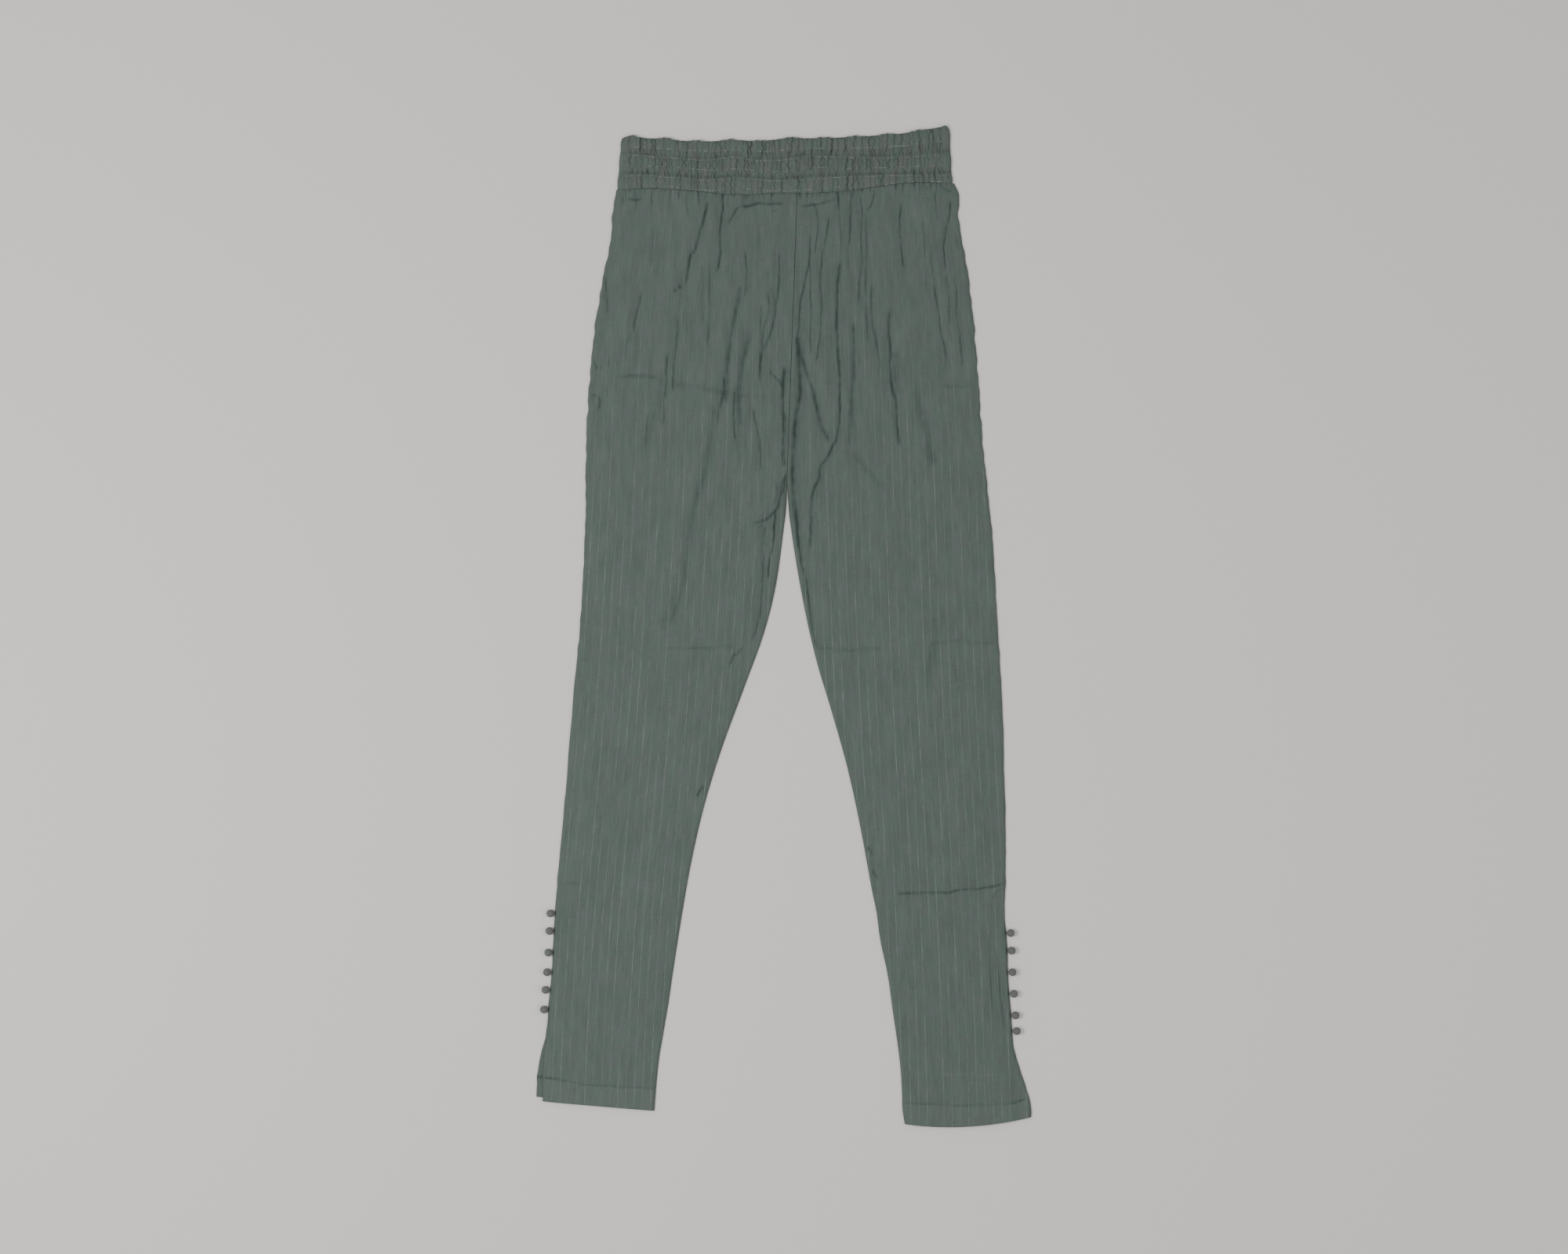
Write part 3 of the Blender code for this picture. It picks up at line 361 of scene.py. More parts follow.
# Creases of the right front: at the band, down the hip, at the crotch and thigh, at the side,
# then the flat creases that packing pressed across the leg
RIGHT_CREASES = table(
    Crease, 1,
    (0.68, 0.63, 0, ((-133, 445), (-135, 438), (-134, 429))),
    (0.75, 0.63, 0, ((-108, 445), (-107, 434))),
    (0.6, 0.63, 0, ((-100, 445), (-99, 430), (-98, 416))),
    (0.53, 0.63, 0, ((-88, 443), (-86, 431))),
    (0.53, 0.63, 0, ((-50, 445), (-50, 436))),
    (0.53, 0.63, 0, ((-42, 445), (-42, 430))),
    (1, 0.9, 0.3, ((-161, 437), (-151, 435), (-143, 437))),
    (0.53, 0.63, 0, ((-163, 443), (-165, 430))),
    (1.4, 1.1, 0.3, ((-46, 429), (-38, 429), (-30, 431), (-24, 433), (-16, 431), (-8, 432), (1, 431))),
    (0.68, 0.68, 0, ((-13, 424), (-4, 426))),
    (1.27, 0.86, -0.3, ((-77, 436), (-78, 432), (-81, 418), (-86, 402), (-90, 385), (-94, 381),
     (-97, 370), (-99, 355), (-101, 348))),
    (0.9, 0.75, -0.15, ((-100, 350), (-107, 347), (-111, 343), (-115, 340))),
    (1.12, 0.75, -0.25, ((-63, 446), (-62, 432), (-64, 415), (-65, 400), (-65, 380), (-67, 367),
     (-71, 361))),
    (0.83, 0.68, -0.15, ((-44, 432), (-52, 420), (-57, 409))),
    (1.05, 0.63, -0.2, ((-144, 343), (-149, 325), (-152, 312), (-153, 299))),
    (0.23, 2, 0, ((-153, 303), (-160, 290), (-162, 270))),
    (0.83, 0.68, 0.15, ((-40, 384), (-38, 360), (-39, 345), (-40, 335))),
    (0.72, 1.6, -0.3, ((-44, 350), (-46, 335), (-49, 322), (-52, 305), (-55, 290), (-57, 270),
     (-58, 250), (-59, 235), (-60, 227))),
    (1.12, 0.75, -0.25, ((-61, 258), (-61, 242), (-62, 235), (-66, 220), (-68, 205))),
    (0.36, 2.2, -0.24, ((-70, 228), (-73, 205), (-75, 190), (-78, 170), (-82, 150), (-87, 138),
     (-91, 125), (-94, 110), (-97, 85), (-100, 60), (-103, 40), (-110, 20), (-118, 0))),
    (0.58, 2, -0.24, ((-34, 302), (-38, 285), (-42, 270), (-44, 255), (-46, 240), (-46, 225),
     (-43, 204))),
    (0.9, 0.91, 0, ((-50, 245), (-51, 220), (-50, 188))),
    (0.83, 0.75, -0.2, ((-4, 384), (-5.5, 345), (-8, 328), (-11, 310), (-15, 295), (-22, 280),
     (-24, 265), (-24, 248))),
    (0.68, 0.8, 0, ((-23, 332), (-24, 290), (-24, 258))),
    (0.75, 0.7, 0, ((-16, 342), (-15, 324), (-20, 306), (-22, 290), (-24, 266))),
    (0.8, 0.8, 0, ((-16, 364), (-17, 355))),
    (0.68, 0.63, 0.2, ((-18, 262), (-10, 256), (-3, 247), (1, 239))),
    (0.75, 0.75, -0.15, ((-32, 224), (-28, 205), (-25, 190), (-23, 158))),
    (0.68, 0.75, -0.15, ((-108, 317), (-109, 295), (-110, 280), (-112, 270), (-113, 238))),
    (0.83, 0.75, -0.15, ((-118, 280), (-120, 262), (-120, 245), (-122, 231))),
    (0.53, 0.75, 0, ((-124, 236), (-122, 215), (-124, 204))),
    (0.53, 0.68, 0, ((-131, 224), (-133, 209))),
    (0.6, 0.75, 0, ((-139, 218), (-141, 183))),
    (0.6, 0.68, 0, ((-76, 372), (-76, 320), (-78, 283))),
    (0.38, 0.8, 0, ((-83, 372), (-83, 308))),
    (0.38, 0.8, 0, ((-134, 407), (-134, 385), (-137, 363))),
    (0.38, 0.75, 0, ((-112, 377), (-110, 363))),
    (0.75, 0.68, 0.15, ((-183, 360), (-181, 340), (-180, 318))),
    (0.68, 0.57, 0, ((-186, 347), (-184, 333))),
    (1.2, 1.6, 0.2, ((1, 268), (-1, 240), (0, 213), (-0.5, 180), (0, 162))),
    (1.3, 1, 0.2, ((3.5, 158), (-1.5, 147), (-3.3, 134), (-8, 120), (-20, 109), (-33, 105.5))),
    (0.5, 0.7, 0, ((-16, 112), (-22, 104), (-26, 101))),
    (1.2, 0.9, 0, ((2, 155), (0.5, 143), (-2.5, 134))),
    (0.7, 1.4, 0, ((-6, 148), (-8, 132), (-11, 122))),
    (0.98, 0.86, -0.2, ((-8, 120), (-10, 100), (-11, 85), (-15, 65), (-16, 48))),
    (0.75, 0.86, -0.2, ((-20, 107), (-21, 80), (-22, 50), (-24, 20), (-27, 0), (-34, -16))),
    (1, 1, 0, ((-41, -18), (-46, -27), (-52, -29), (-55, -42))),
    (1, 0.9, 0.15, ((-81, -160), (-91, -175))),
    (1, 0.65, 0, ((-193, 274), (-192, 265), (-186, 263), (-186, 269))),
    (1, 0.7, 0.15, ((-199, 236), (-191, 235), (-187, 232), (-190, 219))),
    (0.6, 0.57, 0, ((-178, 279), (-179, 261))),
    (0.38, 0.57, 0, ((-180, 247), (-180, 229))),
    (0.6, 1.3, 0.15, ((-170, 255), (-146, 256), (-126, 254))),
    (0.3, 2.2, 0.18, ((-114, 248), (-85, 244), (-58, 238))),
    (0.38, 0.91, 0, ((-16, 235), (4, 235))),
    (0.25, 1.2, 0, ((-60, 238), (-36, 236), (-14, 235))),
    (0.35, 1.3, 0, ((-125, -20), (-100, -22), (-76, -21), (-48, -20))),
    (0.22, 3.5, 0, ((-124, 262), (-130, 232), (-137, 205), (-141, 175))),
    (0.45, 0.8, 0, ((-209, -34), (-198, -34))),
    (0.3, 0.91, 0, ((-231, -261), (-204, -261))),
    (0.23, 2.2, 0, ((-217, -471), (-209, -473))),
)

# Creases of the left front, in the same order
LEFT_CREASES = table(
    Crease, 1,
    (0.9, 0.57, 0.15, ((54, 450), (55, 440), (56, 422))),
    (0.83, 0.63, 0.15, ((68, 447), (68, 420), (67, 400), (66, 390), (64, 384))),
    (0.83, 0.57, 0, ((77, 443), (80, 424))),
    (0.83, 0.57, 0, ((82, 423), (87, 427), (91, 437), (94, 448))),
    (0.53, 0.57, 0, ((72, 424), (79, 422))),
    (0.83, 0.68, 0.15, ((120, 435), (118, 415), (118, 400), (120, 385), (122, 363))),
    (0.6, 0.57, 0, ((147, 442), (146, 424))),
    (0.6, 0.68, 0, ((141, 417), (142, 405), (143, 390), (144, 373))),
    (0.75, 0.63, 0, ((153, 447), (155, 430), (156, 413))),
    (0.9, 0.63, 0.15, ((159, 451), (165, 446), (169, 444), (173, 447))),
    (0.53, 0.63, 0, ((143, 449), (149, 446))),
    (0.83, 0.68, 0.15, ((28, 435), (33, 425), (35, 410), (33, 395), (31, 378))),
    (1.12, 0.75, 0.25, ((27, 402), (26, 380), (25, 370), (22, 355), (20, 345), (17, 335), (16, 320),
     (15, 305), (13, 295))),
    (1.3, 1.7, 0.25, ((13, 300), (15, 280), (16, 258), (16.5, 236), (12.5, 218), (10.5, 192), (9.5, 173),
     (9, 147), (11, 124), (13, 102), (15, 78))),
    (0.75, 0.68, -0.15, ((27, 374), (27, 345), (28, 320), (27, 300), (27, 276))),
    (0.85, 1.4, 0.25, ((14, 293), (19, 272), (24, 255), (29, 243), (33, 225), (38, 206), (47, 188))),
    (0.83, 0.68, 0.2, ((46, 420), (43, 398), (40, 385), (38, 370), (37, 355), (38, 340), (38, 320),
     (37, 300), (35, 285), (33, 268))),
    (0.53, 0.68, 0.1, ((56, 424), (58, 395), (57, 366))),
    (1.15, 1.1, 0.3, ((57, 374), (55, 350), (54, 330), (54, 300), (55, 280), (57, 250), (57, 225),
     (56, 205), (53, 190), (48, 182), (44, 172), (38, 165), (35, 150), (30, 140), (28, 120), (27, 78))),
    (0.75, 0.68, 0.15, ((80, 432), (79, 400), (79, 370), (77, 350), (76, 328))),
    (0.68, 0.68, 0.15, ((83, 424), (84, 400), (84, 370), (83, 350), (84, 320), (86, 288))),
    (0.75, 0.8, 0.15, ((89, 350), (89, 320), (92, 300), (96, 280), (99, 263))),
    (0.9, 0.97, -0.2, ((108, 324), (107, 300), (109, 280), (108, 265), (110, 245), (114, 232),
     (115, 215), (117, 195), (118, 183))),
    (0.32, 4, 0, ((113, 284), (113, 258), (113, 234))),
    (0.6, 1.8, 0.12, ((71, 312), (71, 280), (71, 255), (69, 235), (68, 210), (67, 183))),
    (0.41, 3.6, 0, ((134, 242), (140, 220), (146, 200), (150, 180), (153, 163))),
    (0.83, 0.68, -0.2, ((153, 352), (155, 335), (158, 320), (160, 300), (164, 285), (167, 268))),
    (0.75, 0.68, 0, ((165, 362), (167, 345), (168, 330), (169, 300), (172, 286))),
    (0.75, 0.68, 0, ((172, 359), (175, 347), (176, 330), (176, 315), (179, 300), (181, 280),
     (182, 263))),
    (0.98, 0.68, -0.2, ((170, 437), (169, 420), (166, 410), (164, 395), (163, 385), (165, 363))),
    (0.68, 0.63, 0, ((174, 404), (177, 390), (181, 382))),
    (0.6, 0.57, 0, ((186, 347), (190, 336))),
    (0.9, 0.8, 0.2, ((12, 120), (14, 95), (18, 65), (22, 50), (25, 30), (27, 10), (30, -10), (34, -24))),
    (0.53, 0.63, 0, ((19, 48), (23, 20), (26, -4))),
    (1, 0.9, 0, ((82, -220), (91, -232))),
    (0.9, 0.9, 0, ((87, -246), (98, -259))),
    (0.38, 0.91, 0, ((4, 235), (15, 235))),
    (0.45, 0.91, 0.15, ((158, 246), (197, 246))),
    (0.35, 1.3, 0, ((32, -20), (60, -23), (104, -22))),
    (0.25, 1.3, 0, ((147, -16), (180, -15), (216, -17))),
    (0.25, 4, 0, ((153, 14), (152, -20), (146, -58))),
    (0.25, 3, 0, ((68, 182), (84, 160), (108, 137))),
    (0.85, 0.85, 0.25, ((114, -272), (140, -271), (165, -271), (180, -268), (198, -267), (210, -265),
     (226, -262))),
    (0.68, 0.68, 0, ((212, -279), (217, -270), (225, -267))),
    (-0.22, 0.8, 0, ((154, -457), (186, -456), (218, -457))),
    (0.45, 0.8, 0, ((208, -318), (210, -352), (213, -392))),
    (0.55, 0.8, 0, ((217, -330), (220, -372), (225, -408))),
    (0.8, 0.9, 0, ((15, 429), (32, 431), (44, 434), (56, 437))),
    (0.5, 0.65, 0, ((143, 374), (145, 358), (144, 344))),
    (0.5, 0.65, 0, ((149, 392), (151, 366), (153, 350))),
    (0.4, 0.65, 0, ((61, 330), (61, 298))),
    (0.4, 0.65, 0, ((45, 366), (46, 336))),
    (0.4, 0.65, 0, ((9, 322), (8, 306))),
)

# The backs lie hidden: long creases like the fronts', shallow, because they rest on the surface
BACK_CREASES = table(
    Crease, 1,
    (0.35, 2.6, 0, ((-150, 430), (-147, 380), (-152, 330), (-149, 286))),
    (0.4, 2.2, 0, ((-118, 440), (-112, 395), (-110, 340))),
    (0.3, 3, 0, ((-84, 436), (-90, 372), (-86, 300), (-94, 232))),
    (0.4, 2.2, 0, ((-58, 441), (-55, 400), (-61, 352), (-58, 318))),
    (0.35, 2.6, 0, ((-33, 428), (-36, 360), (-31, 282), (-38, 210), (-52, 150))),
    (0.4, 2.4, 0, ((-12, 300), (-17, 232), (-30, 170), (-44, 128))),
    (0.3, 2.8, 0, ((-176, 300), (-180, 240), (-178, 182))),
    (0.35, 2, 0, ((-196, -28), (-150, -24), (-96, -27))),
    (0.35, 2, 0, ((-228, -268), (-170, -264), (-108, -267))),
    (0.4, 2, 0, ((-190, 252), (-128, 249), (-62, 244))),
    (0.35, 2.4, 0, ((32, 436), (37, 388), (34, 322), (40, 262), (36, 196))),
    (0.4, 2.2, 0, ((61, 440), (65, 392), (60, 336), (66, 280))),
    (0.3, 3, 0, ((92, 442), (88, 370), (96, 300), (92, 216), (101, 140))),
    (0.4, 2.2, 0, ((124, 446), (129, 402), (126, 350))),
    (0.35, 2.6, 0, ((155, 441), (150, 380), (158, 318), (154, 262))),
    (0.35, 2.4, 0, ((180, 330), (184, 282), (182, 240))),
    (0.4, 2, 0, ((40, 244), (110, 248), (188, 250))),
    (0.35, 2, 0, ((60, -22), (130, -26), (208, -20))),
    (0.35, 2, 0, ((110, -276), (160, -272), (214, -270))),
)

# Soft waves across the stripes, in metres. They gather under the waistband and die out down the
# leg: at each y, how strong they are. Then, in millimetres, how far the outseam wavers at y.
RIPPLES = table(
    Ripple, 1,
    (0.0062, 0.00006, 0.20, 5.3), (0.0115, 0.00019, 0.35, 0.2), (0.0190, 0.00026, -0.55, 1.9),
    (0.0310, 0.00028, 0.80, 4.1), (0.0530, 0.00030, -0.30, 2.6),
)
RIPPLE_FADE = ((-0.50, 0.30), (-0.10, 0.35), (0.16, 0.75), (0.30, 1.20), (0.45, 1.25))
WAVER = ((-500, 0.2), (100, 0.3), (240, 0.6), (450, 0.6))

# The spacing of a front's rows at y: fine where creases lie across the leg, and at the hem's
# stitches
RIGHT_PITCH = (
    (-520, 3), (-472, 3), (-469, 1.6), (-455, 1.6), (-450, 6), (-440, 13), (-300, 13), (-270, 3.5),
    (-252, 3.5), (-240, 13), (-180, 13), (-176, 3.5), (-158, 3.5), (-154, 13), (-60, 13),
    (-44, 3.5), (-32, 2.6), (-16, 2), (-10, 5), (60, 5), (95, 3.4), (102, 1.6), (124, 1.6),
    (132, 3), (228, 3.4), (234, 2.3), (258, 2.3), (268, 3.6), (416, 3.6), (424, 1.6), (438, 1.6),
    (444, 2.2), (460, 2.2),
)
LEFT_PITCH = (
    (-520, 3), (-490, 3), (-487, 1.6), (-476, 1.6), (-472, 3.5), (-462, 3.5), (-459, 1.8),
    (-452, 1.8), (-446, 8), (-440, 13), (-300, 13), (-284, 3), (-276, 1.4), (-260, 1.4), (-254, 3),
    (-250, 6), (-236, 5), (-218, 3.5), (-212, 13), (-60, 13), (-30, 4.5), (-24, 2.4), (-14, 2.4),
    (-10, 6), (60, 5.5), (120, 2.6), (200, 2.6), (228, 3.2), (236, 2.3), (250, 2.3), (260, 4),
    (416, 4), (426, 2), (460, 2),
)

LEGS = (
    Leg("right", -1, RIGHT_SECTIONS, RIGHT_FOLDS, RIGHT_CREASES, RIGHT_PITCH, 0.0000, True,
        ((200, 19), (250, 16.5), (300, 12.5), (350, 9), (400, 3.5), (445, 0)),
        ((-490, 45), (-400, 41), (-300, 35), (-200, 26), (-100, 17), (0, 10), (60, 6.5), (100, 4),
         (200, 0)), 0.00080, 0.00840,
        ((-252, -458.5), (-244, -460), (-228, -461.5), (-205, -467), (-159, -469.5),
         (-131, -471))),
    Leg("left", 1, LEFT_SECTIONS, LEFT_FOLDS, LEFT_CREASES, LEFT_PITCH, 0.0060, False,
        ((150, 19), (200, 16), (250, 12), (300, 8), (350, 5), (450, 0)),
        ((-500, 27), (-400, 24), (-300, 20), (-200, 15.5), (-100, 9.5), (0, 5), (100, 1.5),
         (150, 0)), 0.00134, 0.00844,
        ((122, -485.5), (140, -486), (175, -488), (210, -487.5), (235, -485), (250, -480))),
)
FULL_FAN = 0.0190           # how far the stripes at FAN_REACH from the centre spread in all
FAN_REACH = 0.200
STRIPE_PITCH = 0.0084       # between two stripes in the cloth

BACK_PITCH = ((-520, 2.5), (-452, 2.5), (-440, 6.5), (100, 6.5), (460, 4.5))


def smooth(value):
    """Ease from 0 to 1."""
    value = np.clip(value, 0.0, 1.0)
    return value * value * (3.0 - 2.0 * value)


def blend(first, second, share):
    return first + (second - first) * share


def table_curve(column, position):
    """Read a table's column at fractional row numbers, on a smooth curve through its values."""
    column = np.asarray(column, float)
    last = len(column) - 1
    row = np.clip(np.floor(position).astype(int), 0, last - 1)
    step = position - row
    before, start, end, after = (column[np.clip(row + shift, 0, last)] for shift in (-1, 0, 1, 2))
    return 0.5 * (2 * start + (end - before) * step
                  + (2 * before - 5 * start + 4 * end - after) * step ** 2
                  + (3 * start - before - 3 * end + after) * step ** 3)


def line_through(points, place):
    """Read the value at a place on the straight runs through points, each a place and a value."""
    return np.interp(place, *zip(*points))


def line_at(points, place):
    """The same for a table in millimetres, with the place and the value in metres."""
    return line_through(points, place / MM) * MM


def waist_seam(x):
    """y of the waist seam at x."""
    return table_curve(WAIST_SEAM, (x / WAIST_HALF + 1) / 2 * (len(WAIST_SEAM) - 1))


def centre_x(y):
    """x of the centre seam at y."""
    share = (y - CENTRE_CROTCH[1]) / (CENTRE_WAIST[1] - CENTRE_CROTCH[1])
    return blend(CENTRE_CROTCH[0], CENTRE_WAIST[0], share)


def smooth_line(points):
    """A smooth curve through points in millimetres, as x and y in metres."""
    points = np.array(points, float) * MM
    lengths = np.hypot(*np.diff(points, axis=0).T)
    steps = [max(1, round(length / LINE_PITCH)) for length in lengths]
    runs = [number + np.arange(count) / count for number, count in enumerate(steps)]
    position = np.concatenate([*runs, [len(points) - 1.0]])
    return table_curve(points[:, 0], position), table_curve(points[:, 1], position)


def line_offset(line_x, line_y, x, y):
    """Each place's signed distance from a line, above zero on its left, and how far along it is.

    The line's length comes third.
    """
    nearest = np.full(len(x), np.inf)
    offset, along, done = np.zeros(len(x)), np.zeros(len(x)), 0.0
    for k in range(len(line_x) - 1):
        run_x, run_y = line_x[k + 1] - line_x[k], line_y[k + 1] - line_y[k]
        length = math.hypot(run_x, run_y)
        from_x, from_y = x - line_x[k], y - line_y[k]
        share = np.clip((from_x * run_x + from_y * run_y) / length ** 2, 0.0, 1.0)
        gap = np.hypot(from_x - share * run_x, from_y - share * run_y)
        closer = gap < nearest
        side = np.where(run_x * from_y - run_y * from_x > 0, 1.0, -1.0)
        nearest = np.where(closer, gap, nearest)
        offset = np.where(closer, gap * side, offset)
        along = np.where(closer, done + share * length, along)
        done += length
    return offset, along, done


def fold_rise(folds, x, y):
    """Height of all the large folds together."""
    share = np.linspace(0.0, 1.0, BOW_STEPS + 1)
    bow = np.stack([(1 - share) * (1 - 2 * share), 4 * share * (1 - share),
                    share * (2 * share - 1)], axis=1)
    total = np.zeros(len(x))
    for fold in folds:
        bow_x, bow_y = bow @ (fold.x0, fold.x1, fold.x2), bow @ (fold.y0, fold.y1, fold.y2)
        offset, _, _ = line_offset(bow_x, bow_y, x, y)
        total += fold.rise * np.exp(-(offset / fold.width) ** 2)
    return total


def crease_relief(creases, x, y):
    """Height that sharp creases add at each place, and the painted shade that they give it, from 0 to 1.
    """
    rise = np.zeros(len(x))
    shade = np.zeros(len(x))
    for number, crease in enumerate(creases):
        line_x, line_y = smooth_line(crease.points)
        width = crease.width * MM
        depth = crease.depth * MM
        reach = 6 * width
        near = np.flatnonzero((x > line_x.min() - reach) & (x < line_x.max() + reach)
                              & (y > line_y.min() - reach) & (y < line_y.max() + reach))
        offset, along, length = line_offset(line_x, line_y, x[near], y[near])
        taper = min(CREASE_TAPER, length / 3)
        fade = smooth(along / taper) * smooth((length - along) / taper)
        fade *= (0.80 + 0.20 * np.sin(along / CREASE_BEAT + 2.4 * number)
                 + 0.12 * np.sin(along / FINE_BEAT + 5.1 * number))
        offset = offset + CREASE_WANDER * sum(
            np.sin(along / wave + shift * number)
            for wave, shift in zip(WANDER_LENGTHS, (1.3, 3.7)))
        trough = np.exp(-(np.abs(offset) / width) ** 1.5)
        towards_lap = offset * np.sign(crease.lap)
        lip = np.exp(-((towards_lap - LIP_PLACE * width) / (LIP_WIDTH * width)) ** 2)
        rise[near] += fade * depth * (abs(crease.lap) * lip - trough)
        # Painted shade along the crease's line and, on a lapped crease, beside it on the lapped side
        line = np.exp(-(offset / (LINE_WIDTH * width)) ** 2)
        if crease.lap:
            beside = towards_lap - SOFT_PLACE * width
            line = line + SOFT_SHADE * np.exp(-(beside / (SOFT_WIDTH * width)) ** 2)
        shade[near] += fade * min(depth / FULL_SHADE_DEPTH, 1.0) * line
    return rise, np.minimum(shade, 1.0)


def row_stations(sections, pitch):
    """Fractional section numbers of a panel's rows, spaced as the pitch table says."""
    fine = np.linspace(0.0, len(sections) - 1.0, FINE_STEPS)
    outer_y = table_curve([section.outer_y for section in sections], fine)
    counts = -np.diff(outer_y) / line_at(pitch, (outer_y[1:] + outer_y[:-1]) / 2)
    total = np.concatenate([[0.0], np.cumsum(counts)])
    rows = round(total[-1])
    return np.interp(np.linspace(0.0, total[-1], rows + 1), total, fine)


def panel_rows(leg, stations):
    """The rows of a leg's panels at fractional section numbers."""
    ends = [s._replace(inner_x=centre_x(s.inner_y)) if s.inner_x is CENTRE else s
            for s in leg.sections]
    outer_x, outer_y, inner_x, inner_y = (table_curve(column, stations) for column in zip(*ends))
    inner_x = inner_x + leg.side * SEAM_GAP / 2
    outer_x = outer_x + leg.side * line_at(WAVER, outer_y) * (
        np.sin(outer_y / 0.0031 + leg.side) * np.sin(outer_y / 0.0127)
        + 0.6 * np.sin(outer_y / 0.0071 + 2.0 * np.sin(outer_y / 0.041)))
    outer_turn = np.ones(len(stations))
    if leg.slit_open:
        outer_turn = smooth((outer_y - SLIT_TOP_Y) / SLIT_TURN)
    inner_turn = smooth((CROTCH_Y - inner_y) / CROTCH_TURN)
    return PanelRows(outer_x, outer_y, inner_x, inner_y, outer_turn, inner_turn)


def dense_rows(leg):
    """The dense rows that give a panel's outline."""
    return panel_rows(leg, np.linspace(0.0, len(leg.sections) - 1.0, FINE_STEPS))


def row_place(leg, rows, row, share):
    """x and y at a share of the way across a row, bowed to the waist seam and to the hem."""
    x = blend(rows.outer_x[row], rows.inner_x[row], share)
    y = blend(rows.outer_y[row], rows.inner_y[row], share)
    top = blend(leg.sections[0].outer_y, leg.sections[0].inner_y, share)
    near_waist = smooth(1.0 - (top - y) / END_BEND)
    y = y + near_waist * (waist_seam(x) - top)
    near_hem = smooth(1.0 - (y - leg.sections[-1].inner_y) / END_BEND)
    y = y - near_hem * leg.hem_sag * 4 * share * (1 - share)
    return x, y - SHOWN_GAP / 2


def soft_line(points, y):
    """A table read at y and a little above and below it, so that its corners round off."""
    near = (line_at(points, y + shift) for shift in (-0.02, 0.0, 0.02))
    return sum(near) / 3


def across_grain(leg, x, y):
    """How far across the stripes a place lies, with a stripe at each multiple of their pitch.

    The gathers pull the stripes together at the waist, and the leg carries them outward below.
    """
    drawn_in = 1.0 - (FULL_FAN - soft_line(leg.stripe_fan, y)) / FAN_REACH
    place = (x - leg.side * soft_line(leg.stripe_drift, y)) / drawn_in
    return (place - leg.stripe_start) * STRIPE_PITCH / leg.stripe_pitch


def waist_dips(leg, x, y):
    """How far the gathers under the waistband press into a front, fading out below the seam."""
    rng = np.random.default_rng(DIP_SEED + leg.side)
    drop = waist_seam(x) - y
    total = np.zeros(len(x))
    places = [(gather.low_x, gather.depth * DIP_SHARE) for gather in GATHERS]
    places += [(middle, FINE_DIP) for middle in np.arange(-0.168, WAIST_HALF, FINE_DIP_PITCH)]
    for middle, depth in places:
        middle = middle + rng.uniform(-DIP_STRAY, DIP_STRAY)
        depth = depth * rng.uniform(0.3, 1.2)
        width = rng.uniform(*DIP_WIDTHS)
        reach = DIP_LEAST_REACH + DIP_MORE_REACH * rng.random() ** 2.5
        slant = rng.uniform(-DIP_SLANT, DIP_SLANT)
        near = np.flatnonzero((np.abs(x - middle) < DIP_SPREAD) & (drop < reach))
        offset = x[near] - middle - slant * drop[near]
        total[near] += depth * np.exp(-(offset / width) ** 2) * smooth(1 - drop[near] / reach)
    return total


def long_waves(across, y):
    """Height of the soft waves across the stripes."""
    total = np.zeros(len(across))
    strength = line_through(RIPPLE_FADE, y)
    for ripple in RIPPLES:
        wander = ripple.slant * 0.02 * np.sin(math.tau * y / 0.21 + 3 * ripple.start)
        swell = 0.55 + 0.45 * np.sin(math.tau * (y / 0.17 + across / 0.09) + 5 * ripple.start)
        phase = math.tau * (across + wander) / ripple.length + ripple.start
        total += strength * ripple.rise * swell * np.sin(phase)
    return total


